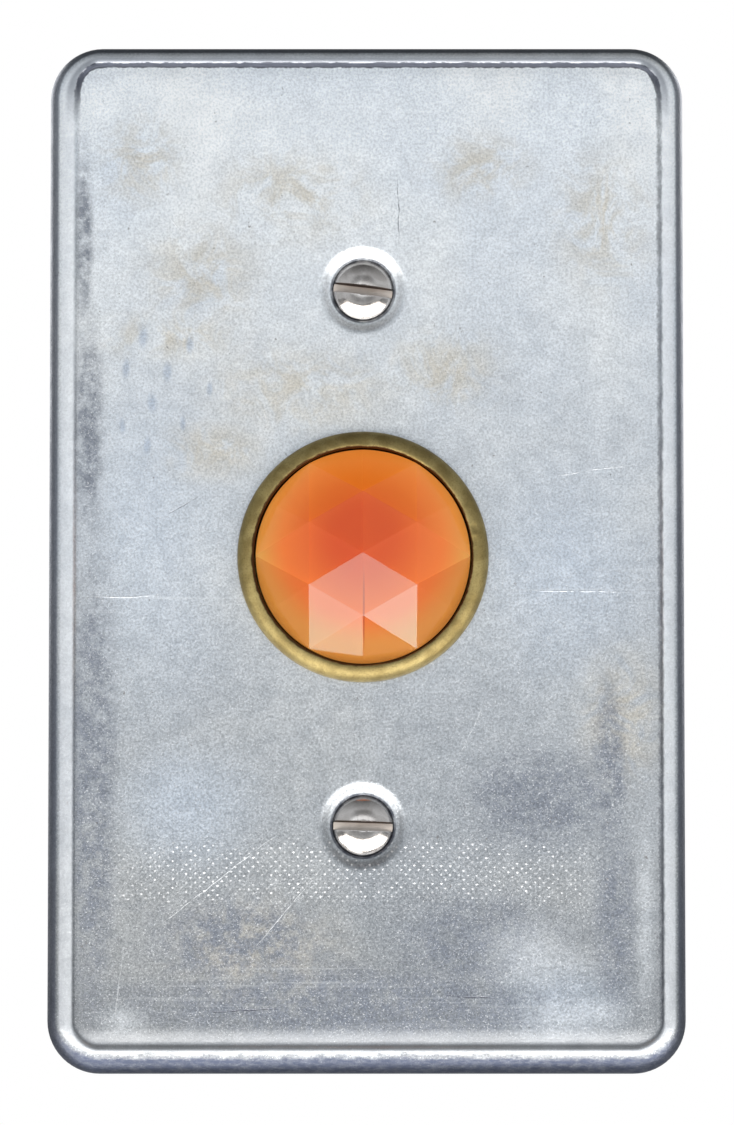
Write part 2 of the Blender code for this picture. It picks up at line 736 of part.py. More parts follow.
def switch_block():
    """Moulded body: spring well in front, lamp bore, leg slots, contact chamber and four wire pockets."""
    x, z = BLOCK_HALF_X, BLOCK_HALF_Z
    block = box("switch_block", (-x, BLOCK_FRONT, -z), (x, BLOCK_BACK, z), "brown_phenolic", bevel=0.8)
    back = BLOCK_BACK + PROUD
    cut(block, rod("well", WELL_RADIUS, BLOCK_FRONT - PROUD, WELL_FLOOR, steps=32))
    cut(block, rod("lamp_bore", LAMP_BORE, WELL_FLOOR - PROUD, back, steps=24))
    cut(block, box("chamber", (-CHAMBER_X, CHAMBER_FRONT, CHAMBER_LOW), (CHAMBER_X, back, CHAMBER_HIGH)))
    leg_x = LEG_HALF + FITTED
    stop = LEG_END + TRAVEL + FITTED
    low, high = LEG_INNER - FITTED, LEG_OUTER + FITTED
    cut(block, box("lower_leg_slot", (-leg_x, WELL_FLOOR - PROUD, -high), (leg_x, CHAMBER_FRONT + PROUD, -low)))
    cut(block, box("upper_leg_slot", (-leg_x, WELL_FLOOR - PROUD, low), (leg_x, stop, high)))
    for side, side_name in ((-1, "left"), (1, "right")):
        for end, end_name in ((-1, "lower"), (1, "upper")):
            label = end_name + "_" + side_name
            cut(block, pocket("pocket_" + label, side, end))
            at = (side * (BLOCK_HALF_X - 3.2), TERMINAL_DEPTH, end * TERMINAL_Z)
            pilot = rod("pilot_" + label, 1.8, -PROUD, 6.0, inward=(-side, 0, 0), at=at, steps=16)
            cut(block, pilot)
        cut(block, side_slot("strip_slot_" + side_name, side, -1, -CHAMBER_HIGH + 0.5))
        wall = sorted((side * (CHAMBER_X - PROUD), side * (TAB_X + STRIP + FITTED)))
        opening = (STRIP_FRONT - 0.3, back)
        tool = box(
            "wall_opening_" + side_name,
            (wall[0], opening[0], -12.8),
            (wall[1], opening[1], -7.7),
        )
        cut(block, tool)
    cut(block, side_slot("shell_strip_slot", -1, 1, 1.2))
    cut(block, box("shell_channel", (-TAB_X - STRIP - FITTED, CHANNEL_FRONT - 0.2, 1.2), (-4.5, back, 5.3)))
    cut(block, side_slot("centre_strip_slot", 1, 1, -2.3))
    cut(block, box("centre_channel", (-2.4, CHANNEL_FRONT, -2.3), (TAB_X + STRIP + FITTED, back, 2.3)))
    for end, end_z in (("top", BODY_SCREW_Z), ("bottom", -BODY_SCREW_Z)):
        hole = rod("body_hole_" + end, BODY_SCREW + FITTED, 0, back, at=(0, 0, end_z), steps=16)
        cut(block, hole)
    return block


def rear_plate():
    x, z = BLOCK_HALF_X, BLOCK_HALF_Z
    outline = rounded([(-x, -z), (x, -z), (x, z), (-x, z)], 2.0, 3)
    loops = [outline]
    for sign in (1, -1):
        loops.append(circle(0, sign * BODY_SCREW_Z, BODY_SCREW + FITTED, 16))
    return plate("rear_plate", loops, REAR_FRONT, REAR_BACK, "brown_phenolic")


# ---------------------------------------------------------------- contacts and terminals


def contact_bridge():
    """Springy bar that the lower leg carries; it joins the two fixed contacts when the button is in."""
    x, z = BRIDGE_HALF_X, BRIDGE_HALF_Z
    corners = [(-x, LEG_Z - z), (x, LEG_Z - z), (x, LEG_Z + z), (-x, LEG_Z + z)]
    loops = [rounded(corners, 0.6, 2), circle(0, LEG_Z, PIN_RADIUS + CLEAR, 16)]
    return plate("contact_bridge", loops, BRIDGE_FRONT, BRIDGE_BACK, "phosphor_bronze")


def contact_tip(name, side, front):
    """Silver button with a slightly domed edge."""
    profile = [(0, front), (TIP_RADIUS, front), (TIP_RADIUS, front + TIP_THICK), (0, front + TIP_THICK)]
    return turned(name, profile, "silver", at=(side * TIP_X, 0, LEG_Z), steps=20)


def bridge_pin():
    """Headed pin pressed into the lower leg; its head stops the bridge."""
    head = 1.7
    profile = [
        (0, PIN_FRONT),
        (PIN_RADIUS, PIN_FRONT),
        (PIN_RADIUS, BRIDGE_BACK + CLEAR),
        (head, BRIDGE_BACK + CLEAR),
        (head, BRIDGE_BACK + CLEAR + 0.8),
        (0, BRIDGE_BACK + CLEAR + 0.8),
    ]
    return turned("bridge_pin", profile, "spring_steel", at=(0, 0, LEG_Z), steps=16)


def contact_spring():
    points = helix(1.5, 0.2, 2.5, LEG_END + CLEAR, BRIDGE_FRONT - CLEAR, LEG_Z, per_turn=10)
    return wire("contact_spring", points, 0.2, "spring_steel")


def strip_with_tab(name, side, end, arm_low, arm_high, tab_back, finish="aged_brass"):
    """A flat arm behind the body joined to a tab along its side wall, drilled for the terminal screw."""
    tab_x = sorted((side * TAB_X, side * (TAB_X + STRIP)))
    arm = box(name, arm_low, arm_high, finish)
    inner_z = arm_low[2] if end > 0 else arm_high[2]
    z = sorted((inner_z, end * TAB_END_Z))
    tab = box(name + "_tab", (tab_x[0], TAB_FRONT + 0.3, z[0]), (tab_x[1], tab_back, z[1]))
    join(arm, tab)
    at = (side * (TAB_X - PROUD), TERMINAL_DEPTH, end * TERMINAL_Z)
    hole = rod(name + "_hole", 1.8, 0, STRIP + 2 * PROUD, inward=(side, 0, 0), at=at, steps=16)
    return cut(arm, hole)


def fixed_contact(label, side):
    x = sorted((side * 6.0, side * (TAB_X + STRIP)))
    low = (x[0], STRIP_FRONT, -12.5)
    high = (x[1], STRIP_FRONT + STRIP, -8.0)
    return strip_with_tab("fixed_contact_" + label, side, -1, low, high, STRIP_FRONT + STRIP)


def lamp_terminal():
    """Strip that touches the socket's rear edge and runs to the upper left screw."""
    low = (-TAB_X - STRIP, LAMP_STRIP_FRONT, 1.5)
    high = (-4.9, LAMP_STRIP_FRONT + 0.8, 5.0)
    return strip_with_tab("lamp_terminal", -1, 1, low, high, LAMP_STRIP_FRONT + 0.8)


def centre_contact():
    """Springy strip that touches the lamp's tip and runs to the upper right screw."""
    low = (-2.0, LEAF_FRONT, -2.0)
    high = (TAB_X + STRIP, LEAF_FRONT + 0.8, 2.0)
    return strip_with_tab("centre_contact", 1, 1, low, high, LEAF_FRONT + 0.8, "phosphor_bronze")


def terminal_screw(label, side, end):
    at = (side * (TAB_X + STRIP + CLEAR), TERMINAL_DEPTH, end * TERMINAL_Z)
    name = "terminal_screw_" + label
    return pan_screw(name, at, TERMINAL_HEAD, 1.6, 5.6, "aged_brass", (-side, 0, 0), tilt=30 * side * end)


# ---------------------------------------------------------------- lamp and socket


def lamp_glass():
    """Open tubular bulb with a round end and a narrower neck."""
    outer, neck = GLASS_RADIUS, BASE_RADIUS - 0.6
    inner, neck_bore = outer - GLASS_WALL, neck - GLASS_WALL
    arc = [math.pi / 2 * k / 4 for k in range(5)]
    outside = [(outer * math.sin(a), GLASS_FRONT + outer * (1 - math.cos(a))) for a in arc]
    inside = [(inner * math.sin(a), GLASS_FRONT + GLASS_WALL + inner * (1 - math.cos(a))) for a in reversed(arc)]
    neck_depth = BASE_FRONT - 0.6
    outside += [(outer, neck_depth - 1.2), (neck, neck_depth), (neck, BASE_FRONT + 1.8)]
    inside = [(neck_bore, BASE_FRONT + 1.8), (neck_bore, neck_depth), (inner, neck_depth - 1.2)] + inside
    return turned("lamp_glass", outside + inside, "clear_glass", steps=20)


def lamp_filament():
    """Two support wires with the filament arched between them."""
    foot, span, top = 1.4, 2.2, 8.5
    arch = [math.pi * k / 6 for k in range(7)]
    bow = [(-span * math.cos(a), top - 1.0 * math.sin(a), 0) for a in arch]
    points = [(-foot, BASE_FRONT + 1.4, 0)] + bow + [(foot, BASE_FRONT + 1.4, 0)]
    return wire("lamp_filament", points, 0.15, "tungsten")


def lamp_base():
    """Brass shell with the two bayonet pins."""
    shell = tube("lamp_base", BASE_RADIUS - 0.4, BASE_RADIUS, BASE_FRONT, BASE_BACK, "aged_brass", steps=32)
    for label, side in (("left", -1), ("right", 1)):
        at = (side * LAMP_PIN_REACH, LAMP_PIN_DEPTH, 0)
        reach = LAMP_PIN_REACH - BASE_RADIUS + 0.2
        pin = rod("lamp_pin_" + label, LAMP_PIN_RADIUS, 0, reach, inward=(-side, 0, 0), at=at, steps=12)
        join(shell, pin)
    return shell


def lamp_insulator():
    front, back = BASE_BACK - 1.0, BASE_BACK + 0.1
    return tube("lamp_insulator", 1.5, BASE_RADIUS - 0.5, front, back, "black_phenolic", steps=24)


def lamp_tip():
    profile = [(0, BASE_BACK - 1.2), (1.35, BASE_BACK - 1.2), (1.35, BASE_BACK + 0.2), (0.8, TIP_END), (0, TIP_END)]
    return turned("lamp_tip", profile, "solder", steps=16)


def lamp_socket():
    """Bayonet tube: each slot runs in from the front and turns to where the pin is locked."""
    socket = tube("lamp_socket", SOCKET_BORE, SOCKET_OUTER, SOCKET_FRONT, SOCKET_BACK, "aged_brass", steps=32)
    half = LAMP_PIN_RADIUS + FITTED
    reach = SOCKET_OUTER + PROUD
    margin = math.degrees(half / SOCKET_BORE)
    for k in range(2):
        start, end = 180 * k - margin, 180 * k + UNLOCK_ANGLE + margin
        arc = [math.radians(start + (end - start) * i / 8) for i in range(9)]
        wedge = [(0, 0)] + [(reach * math.cos(a), reach * math.sin(a)) for a in arc]
        label = "lamp_slot_%d" % k
        cut(socket, plate(label, [wedge], LAMP_PIN_DEPTH - half, LAMP_PIN_DEPTH + half))
        way_in = box(label + "_way_in", (0.5, SOCKET_FRONT - PROUD, -half), (reach, LAMP_PIN_DEPTH, half))
        angle = -math.radians(180 * k + UNLOCK_ANGLE)
        way_in.location = Matrix.Rotation(angle, 3, "Y") @ way_in.location
        way_in.rotation_euler = (0, angle, 0)
        cut(socket, way_in)
    return socket


# ---------------------------------------------------------------- assembly


def build():
    cover_plate()
    bezel()
    bezel_washer()
    bezel_nut()
    mounting_strap()
    switch_block()
    rear_plate()
    for end, sign, tilt in (("top", 1, 7), ("bottom", -1, 2)):
        plate_screw(end, sign * SCREW_SPACING / 2, tilt)
        strap_screw(end, sign * BOX_SCREW_SPACING / 2)
        body_screw(end, sign * BODY_SCREW_Z)
        body_nut(end, sign * BODY_SCREW_Z)

    button = [jewel_lens(), lens_seal(), lens_snap_ring(), button_sleeve(), plunger(), bridge_pin()]
    hang_on(axis_empty("button_axis", (0, 0, 0)), button)
    return_spring()
    contact_spring()

    bridge = [contact_bridge()]
    for label, side in (("left", -1), ("right", 1)):
        bridge.append(contact_tip("moving_tip_" + label, side, BRIDGE_BACK + 0.02))
        contact_tip("fixed_tip_" + label, side, STRIP_FRONT - TIP_THICK - 0.02)
        fixed_contact(label, side)
        terminal_screw("lower_" + label, side, -1)
        terminal_screw("upper_" + label, side, 1)
    hang_on(axis_empty("bridge_axis", (0, 0, LEG_Z)), bridge)

    lamp = [lamp_glass(), lamp_filament(), lamp_base(), lamp_insulator(), lamp_tip()]
    hang_on(axis_empty("lamp_axis", (0, 0, 0)), lamp)
    lamp_socket()
    lamp_terminal()
    centre_contact()

    for piece in PARTS.objects:
        if piece.type == "MESH" and piece.name not in ("jewel_lens",):
            shade_round(piece)


build()
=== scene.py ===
"""Looks for the illuminated push-button station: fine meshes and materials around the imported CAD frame.

Lengths in this script are millimetres unless a name says otherwise; MM turns them into metres.
Frame: X right, Y into the wall, Z up, origin on the button's axis at the wall plane.
"""

import json
from math import copysign, cos, degrees, exp, hypot, pi, radians, sin, sqrt, tau

import bmesh
import bpy
from mathutils import Matrix, Vector, noise
from mathutils.geometry import delaunay_2d_cdt

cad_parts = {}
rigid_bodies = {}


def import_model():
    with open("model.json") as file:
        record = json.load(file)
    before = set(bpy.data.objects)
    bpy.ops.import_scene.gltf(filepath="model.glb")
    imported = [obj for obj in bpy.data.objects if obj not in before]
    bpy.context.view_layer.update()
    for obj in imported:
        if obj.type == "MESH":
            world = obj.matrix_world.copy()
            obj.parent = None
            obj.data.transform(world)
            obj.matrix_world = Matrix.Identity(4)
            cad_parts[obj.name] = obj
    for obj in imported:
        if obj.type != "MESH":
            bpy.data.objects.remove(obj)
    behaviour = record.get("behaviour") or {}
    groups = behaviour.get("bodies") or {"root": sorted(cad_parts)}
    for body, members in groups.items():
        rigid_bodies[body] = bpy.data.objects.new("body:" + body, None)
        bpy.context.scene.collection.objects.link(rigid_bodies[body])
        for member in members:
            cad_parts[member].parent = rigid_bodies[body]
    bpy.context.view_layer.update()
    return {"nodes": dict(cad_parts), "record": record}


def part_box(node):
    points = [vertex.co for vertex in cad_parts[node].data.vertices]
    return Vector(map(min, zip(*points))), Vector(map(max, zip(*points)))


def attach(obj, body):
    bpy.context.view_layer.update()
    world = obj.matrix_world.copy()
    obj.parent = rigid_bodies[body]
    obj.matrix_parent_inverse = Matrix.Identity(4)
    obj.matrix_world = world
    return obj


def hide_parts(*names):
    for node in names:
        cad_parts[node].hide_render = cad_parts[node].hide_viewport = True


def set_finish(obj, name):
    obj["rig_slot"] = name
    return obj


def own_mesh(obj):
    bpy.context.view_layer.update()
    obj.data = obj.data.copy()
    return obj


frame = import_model()

MM = 0.001
TO_MM = 1000
BODY_OF = {node: body for body, nodes in frame["record"]["behaviour"]["bodies"].items() for node in nodes}
SLOT_OF = {part["node"]: part["material_slot"] for part in frame["record"]["subparts"]}


# ---- sizes read from the frame


def extent(node):
    """Low and high corners of a CAD node in millimetres."""
    low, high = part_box(node)
    return low / MM, high / MM


def depths(node):
    """Front and back of a CAD node."""
    return [corner.y for corner in extent(node)]


def middle_z(node):
    return sum(corner.z for corner in extent(node)) / 2


COVER_LOW, COVER_HIGH = extent("cover_plate")
HALF_X = COVER_HIGH.x
HALF_Z = COVER_HIGH.z
CREST = COVER_LOW.y
CORNER = 5.9
RIM_RADIUS = 2.3
PANEL = CREST + 0.4
GAUGE = 1.2
SCREW_Z = middle_z("plate_screw_top")
BEZEL_LOW, BEZEL_HIGH = extent("bezel")
BEZEL_BORE = 12.25
BARREL = 13.0
COVER_HOLE = 13.15
JEWEL_LOW, JEWEL_HIGH = extent("jewel_lens")
JEWEL_RADIUS = JEWEL_HIGH.z
BRIDGE_Z = -10.2
PIN_DEPTH = 22.4
UNLOCK_ANGLE = 22.0


# ---- mesh helpers


def make_object(name, data):
    thing = bpy.data.objects.new(name, data)
    bpy.context.scene.collection.objects.link(thing)
    return thing


def mesh_from(bm, name):
    mesh = bpy.data.meshes.new(name)
    bm.to_mesh(mesh)
    bm.free()
    return mesh


def solid(bm, name):
    """An object from a closed mesh, its faces turned outward."""
    bmesh.ops.recalc_face_normals(bm, faces=bm.faces)
    return make_object(name, mesh_from(bm, name))


def apply_modifiers(piece):
    mesh = bpy.data.meshes.new_from_object(piece.evaluated_get(bpy.context.evaluated_depsgraph_get()))
    mesh.name = piece.name
    piece.modifiers.clear()
    piece.data = mesh


def shade(piece, smooth):
    """Shades a piece smooth except across edges sharper than the angle."""
    piece.data.shade_smooth()
    piece.data.set_sharp_from_angle(angle=radians(smooth))
    return piece


def bake(piece, smooth=30):
    apply_modifiers(piece)
    return shade(piece, smooth)


def add_bevel(piece, width, segments=2, angle=25):
    bevel = piece.modifiers.new("Edges", "BEVEL")
    bevel.width = width * MM
    bevel.segments = segments
    bevel.limit_method = "ANGLE"
    bevel.angle_limit = radians(angle)
    return piece


def boolean(piece, *tools, operation="DIFFERENCE"):
    for tool in tools:
        modifier = piece.modifiers.new(operation.title(), "BOOLEAN")
        modifier.operation = operation
        modifier.object = tool
    bpy.context.view_layer.update()


def finish_boolean(piece, smooth=30, bevel=0.0, segments=2, angle=25):
    """Applies the cuts, breaks the edges that they leave and removes the tools."""
    tools = [modifier.object for modifier in piece.modifiers]
    if bevel:
        add_bevel(piece, bevel, segments, angle)
    bake(piece, smooth)
    for tool in tools:
        bpy.data.objects.remove(tool, do_unlink=True)
    return piece


def settle(piece, node):
    """Makes a fine piece stand for its CAD node and ride on that node's body."""
    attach(piece, BODY_OF[node])
    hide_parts(node)
    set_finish(piece, SLOT_OF[node])
    return piece


def axis_matrix(inward, at):
    """Places a shape drawn with its depth along local +Y so that depth runs along the inward direction."""
    turn = Vector((0, 1, 0)).rotation_difference(Vector(inward)).to_matrix().to_4x4()
    return Matrix.Translation(Vector(at) * MM) @ turn


def circle(radius, steps, z=0.0):
    """(x, z) points round a centre at x = 0."""
    return [(radius * cos(tau * k / steps), z + radius * sin(tau * k / steps)) for k in range(steps)]


def join(bm, a, b):
    """Faces between two closed rows of points, either of which may be a single point."""
    steps = max(len(a), len(b))
    for k in range(steps):
        j = (k + 1) % steps
        corners = dict.fromkeys((a[k % len(a)], a[j % len(a)], b[j % len(b)], b[k % len(b)]))
        if len(corners) > 2:
            bm.faces.new(list(corners))


def lathe(name, profile, steps=96, inward=(0, 1, 0), at=(0, 0, 0), ring=False):
    """Turns (radius, depth) points, given from front to back down the outer side, about the depth axis."""
    bm = bmesh.new()
    rows = []
    for radius, depth in profile:
        places = circle(radius * MM, steps) if radius > 1e-6 else [(0, 0)]
        rows.append([bm.verts.new((x, depth * MM, z)) for x, z in places])
    for a, b in list(zip(rows, rows[1:])) + [(rows[-1], rows[0])] * ring:
        join(bm, a, b)
    bm.transform(axis_matrix(inward, at))
    return solid(bm, name)


def box_tool(name, low, high, turn=None):
    bm = bmesh.new()
    size = Vector(high) - Vector(low)
    place = Matrix.Translation((Vector(low) + Vector(high)) / 2 * MM) @ Matrix.Diagonal((*(size * MM), 1))
    bmesh.ops.create_cube(bm, size=1.0, matrix=(turn or Matrix.Identity(4)) @ place)
    return make_object(name, mesh_from(bm, name))


def smoothstep(low, high, value):
    t = min(max((value - low) / (high - low), 0.0), 1.0)
    return t * t * (3 - 2 * t)


def mix(a, b, t):
    return a + (b - a) * t


# ---- cover


OFF_CENTRE = 0.4


def past_corner(x, z):
    """How far along X and Z a point lies beyond the centre of its corner's rounding."""
    return abs(x - OFF_CENTRE) - (HALF_X - CORNER), abs(z) - (HALF_Z - CORNER)


def inset_at(x, z):
    """How far inside the cover's outline a point is, following its rounded corners."""
    qx, qz = past_corner(x, z)
    outside = hypot(max(qx, 0), max(qz, 0))
    return CORNER - (outside + min(max(qx, qz), 0))


def outward(x, z):
    """How far a point lies past its corner's centre, and its direction from there."""
    qx, qz = (max(q, 0) for q in past_corner(x, z))
    reach = hypot(qx, qz) or 1.0
    return qx, qz, qx / reach, qz / reach


def from_screw(x, z):
    """Distance from the nearer cover screw's axis."""
    return min(hypot(x, z - SCREW_Z), hypot(x, z + SCREW_Z))


def nearness(x, z):
    """How much a point belongs to the side edges, and to the top or bottom edge."""
    qx, qz, beside, level = outward(x, z)
    return beside * smoothstep(0, 3, qx), level * smoothstep(0, 3, qz)


def underness(x, z):
    """1 beside the bottom edge and 0 beside the others."""
    return nearness(x, z)[1] if z < 0 else 0.0


def outline_at(inset, spacing=1.1, corner_steps=14):
    """A closed loop of points a fixed inset inside the cover's outline."""
    radius = CORNER - inset
    cx, cz = HALF_X - CORNER, HALF_Z - CORNER
    loop = []
    for quarter, (sx, sz) in enumerate(((1, 1), (-1, 1), (-1, -1), (1, -1))):
        for k in range(corner_steps + 1):
            angle = pi / 2 * (quarter + k / corner_steps)
            loop.append((OFF_CENTRE + sx * cx + radius * cos(angle), sz * cz + radius * sin(angle)))
        length = 2 * (cx if quarter % 2 == 0 else cz)
        count = int(length / spacing)
        ahead = ((-1, 0), (0, -1), (1, 0), (0, 1))[quarter]
        x, z = loop[-1]
        for k in range(1, count):
            loop.append((x + ahead[0] * length * k / count, z + ahead[1] * length * k / count))
    return loop


CREASE_AT = 2.62
CREASE_WIDTH = 0.42
CREASE_SINK = 0.08
SHOULDER_END = 4.8
WIDER = {"left": 0.20, "right": 0.06, "top": -0.17, "bottom": 0.25}


def rolled_inset(x, z):
    """Inset scaled so that the crease is at CREASE_AT everywhere, although the roll's width differs."""
    beside, level = nearness(x, z)
    wider = beside * WIDER["left" if x < 0 else "right"] + level * WIDER["bottom" if z < 0 else "top"]
    return inset_at(x, z) / (1 + wider)


def rim_depth(x, z):
    """Depth of the cover's front across the rolled rim, the crease and the soft shoulder beside it."""
    inset = rolled_inset(x, z)
    if inset < RIM_RADIUS:
        lean = 1 - inset / RIM_RADIUS
        roll = CREST + RIM_RADIUS * (1 - sqrt(max(1 - lean * lean, 0)))
    else:
        roll = CREST
    panel = PANEL + CREASE_SINK * (1 - smoothstep(CREASE_AT, SHOULDER_END, inset)) ** 1.5
    width = CREASE_WIDTH * (1 + 0.3 * underness(x, z))
    return mix(roll, panel, smoothstep(CREASE_AT - width, CREASE_AT + 0.08, inset))


# a screw seat's section: radius and how far it lies behind the panel
DIMPLE = ((5.2, 0.0), (5.0, 0.01), (4.8, 0.05), (4.6, 0.15), (4.4, 0.30), (4.2, 0.46), (4.0, 0.61),
          (3.8, 0.70), (3.6, 0.735), (3.45, 0.80), (3.38, 0.97), (2.9, 1.4), (2.0, 2.2))


def dimple_sink(radius):
    """How far the pressed screw seat lies behind the panel at a radius from the screw's axis."""
    if radius >= DIMPLE[0][0]:
        return 0.0
    for (outer, shallow), (inner, deep) in zip(DIMPLE, DIMPLE[1:]):
        if radius >= inner:
            return mix(shallow, deep, (outer - radius) / (outer - inner))
    return DIMPLE[-1][1]


def front_depth(x, z):
    depth = rim_depth(x, z) + dimple_sink(from_screw(x, z))
    wave = noise.noise(Vector((x / 19, 3.1, z / 23))) + 0.5 * noise.noise(Vector((x / 8, 7.7, z / 9)))
    return depth + 0.022 * wave * smoothstep(CREASE_AT, SHOULDER_END + 3, inset_at(x, z))


def back_point(x, z, depth):
    """The inside's point behind a front point: in along the roll's radius, straight back elsewhere."""
    inset = rolled_inset(x, z)
    if inset >= RIM_RADIUS:
        return x, max(depth, PANEL - 0.3) + GAUGE, z
    lean = max(RIM_RADIUS - inset, 0) / RIM_RADIUS
    shift = lean * GAUGE
    beside, level = outward(x, z)[2:]
    sink = sqrt(max(1 - lean * lean, 0)) * GAUGE
    return x - copysign(beside * shift, x), depth + sink, z - copysign(level * shift, z)


def cover_points():
    """Points and loops of the cover's plan: round the rim and the holes, and a grid between."""
    points, loops = [], []

    def add_loop(loop):
        first = len(points)
        points.extend(loop)
        count = len(loop)
        loops.extend((first + k, first + (k + 1) % count) for k in range(count))

    roll = [RIM_RADIUS * (1 - cos(pi / 2 * k / 9)) for k in range(8)]
    insets = roll + [2.0 + 0.1 * k for k in range(12)] + [3.2, 3.35, 3.6, 4.0, 4.5, 5.1, 5.8]
    for inset in insets:
        add_loop(outline_at(inset))
    for z in (SCREW_Z, -SCREW_Z):
        for radius in [8.0, 6.4] + [row[0] for row in DIMPLE]:
            add_loop(circle(radius, 72, z))
    for radius in (COVER_HOLE, 14.4, 16.0):
        add_loop(circle(radius, 96))
    step = 1.6
    for i in range(-int(HALF_X / step), int(HALF_X / step) + 1):
        for j in range(-int(HALF_Z / step), int(HALF_Z / step) + 1):
            x, z = i * step, j * step
            if inset_at(x, z) > 6.6 and from_screw(x, z) > 8.8 and hypot(x, z) > 17:
                points.append((x, z))
    return points, loops


def build_cover():
    """Pressed cover: rolled rim, crease, dished screw seats and centre hole, as one closed sheet."""
    points, loops = cover_points()
    flat, _, faces, *_ = delaunay_2d_cdt([Vector(p) for p in points], loops, [], 0, 1e-6)

    def kept(face):
        x = sum(flat[i].x for i in face) / len(face)
        z = sum(flat[i].y for i in face) / len(face)
        clear = hypot(x, z) > COVER_HOLE * 0.9995 and from_screw(x, z) > DIMPLE[-1][0] * 0.999
        return clear and inset_at(x, z) > 0

    bm = bmesh.new()
    fronts = [(p.x, front_depth(p.x, p.y), p.y) for p in flat]
    backs = [back_point(x, z, y) for x, y, z in fronts]
    front = [bm.verts.new(Vector(p) * MM) for p in fronts]
    back = [bm.verts.new(Vector(p) * MM) for p in backs]
    for face in faces:
        if kept(face):
            bm.faces.new([front[i] for i in face])
            bm.faces.new([back[i] for i in reversed(face)])
    bmesh.ops.delete(bm, geom=[v for v in bm.verts if not v.link_faces], context="VERTS")
    mate = {f: b for f, b in zip(front, back) if f.is_valid}
    front_set = set(mate)
    edges = [e for e in bm.edges if e.is_boundary and e.verts[0] in front_set]
    wall_depths = [mix(CREST + RIM_RADIUS, 0, k / 3) for k in (1, 2, 3)]
    skirts = {}

    def skirt(vert):
        """Points from the roll down the wall's outside and up its inside."""
        if vert not in skirts:
            inner = mate[vert]
            down = [bm.verts.new((vert.co.x, d * MM, vert.co.z)) for d in wall_depths]
            up = [bm.verts.new((inner.co.x, d * MM, inner.co.z)) for d in reversed(wall_depths)]
            skirts[vert] = [vert] + down + up + [inner]
        return skirts[vert]

    for edge in edges:
        a, b = edge.verts
        if inset_at(a.co.x / MM, a.co.z / MM) < 0.01:
            for a0, a1, b0, b1 in zip(skirt(a), skirt(a)[1:], skirt(b), skirt(b)[1:]):
                bm.faces.new([a0, b0, b1, a1])
        else:
            bm.faces.new([a, b, mate[b], mate[a]])
    bmesh.ops.recalc_face_normals(bm, faces=bm.faces)
    mesh = mesh_from(bm, "cover")
    for name, measure in (("inset", rolled_inset), ("under", underness), ("seat", from_screw)):
        stored = mesh.attributes.new(name, "FLOAT", "POINT").data
        for i, vert in enumerate(mesh.vertices):
            x, _, z = vert.co / MM
            stored[i].value = measure(x, z)
    return settle(shade(make_object("cover", mesh), 50), "cover_plate")


# ---- bezel and jewel


def build_bezel():
    """Half-round brass ring on its barrel, with the small dents of use."""
    front, back = BEZEL_LOW.y, BEZEL_HIGH.y
    outer = BEZEL_HIGH.z
    seat = PANEL - 0.1
    lip = BEZEL_BORE - 0.05
    crown = [(BEZEL_BORE, front + 1.6), (lip, front + 0.25), (lip + 0.05, front + 0.1)]
    crown.append((lip + 0.16, front + 0.02))
    for k in range(19):
        angle = pi / 2 * k / 18
        reach = sin(angle) ** 1.15
        drop = 1 - cos(angle) ** 0.8
        crown.append((mix(lip + 0.35, outer, reach), mix(front, seat, drop)))
    profile = crown + [(BARREL, seat), (BARREL, back - 0.2), (BARREL - 0.2, back), (BEZEL_BORE, back)]
    ring = lathe("bezel_ring", profile, 180, ring=True)
    dents = [(8, 12.6, 0.16), (14, 12.9, 0.20), (3, 12.5, 0.12), (-38, 13.6, 0.10), (-52, 13.3, 0.12),
             (-95, 12.6, 0.08), (88, 12.7, 0.12), (-110, 13.5, 0.08), (150, 13.4, 0.06), (-25, 12.5, 0.08)]
    for vert in ring.data.vertices:
        x, y, z = vert.co / MM
        if y > seat - 0.2:
            continue
        sink = 0.0
        for angle, radius, depth in dents:
            a = radians(angle)
            away = hypot(x - radius * cos(a), z - radius * sin(a))
            sink += depth * exp(-((away / 0.38) ** 2))
        sink += 0.012 * noise.noise(Vector((x, 2.0, z)) * 0.9)
        vert.co.y += max(sink, -0.01) * MM
    bake(ring, 40)
    return settle(ring, "bezel")


FACET_EDGE = 6.95
DOME_RADIUS = 16.0


def facet_hull():
    """The dome's corners, a triangular lattice laid on a sphere, each carried straight back too."""
    apex = JEWEL_LOW.y
    bm = bmesh.new()
    bm.verts.new((0, apex * MM, 0))
    for radius, first in ((FACET_EDGE, 30), (FACET_EDGE * sqrt(3), 0), (FACET_EDGE * 2, 30)):
        drop = DOME_RADIUS - sqrt(DOME_RADIUS**2 - radius**2)
        for angle in (radians(first + 60 * k) for k in range(6)):
            for depth in (apex + drop, 3):
                bm.verts.new(Vector((radius * cos(angle), depth, radius * sin(angle))) * MM)
    bmesh.ops.convex_hull(bm, input=bm.verts)
    bmesh.ops.delete(bm, geom=[v for v in bm.verts if not v.link_faces], context="VERTS")
    return solid(bm, "facet_hull")


def build_jewel():
    """Pressed-glass cap: flat facets with softly broken edges, plain girdle, grooved neck and hollow back."""
    apex, back = JEWEL_LOW.y, JEWEL_HIGH.y
    profile = [(0, apex - 1), (JEWEL_RADIUS, apex - 1), (JEWEL_RADIUS, -5.45), (JEWEL_RADIUS - 0.15, -5.3)]
    profile += [(11.0, -5.3), (11.0, -4.7), (10.3, -4.7), (10.3, -3.9), (11.0, -3.9), (11.0, back + 0.15)]
    profile += [(10.85, back), (9.0, back), (7.9, -4.8), (6.4, -5.7), (4.6, -6.35), (2.4, -6.7), (0, -6.8)]
    jewel = lathe("jewel", profile, 128)
    boolean(jewel, facet_hull(), operation="INTERSECT")
    finish_boolean(jewel, smooth=3.2, bevel=0.05, angle=7)
    return settle(jewel, "jewel_lens")


# ---- screws


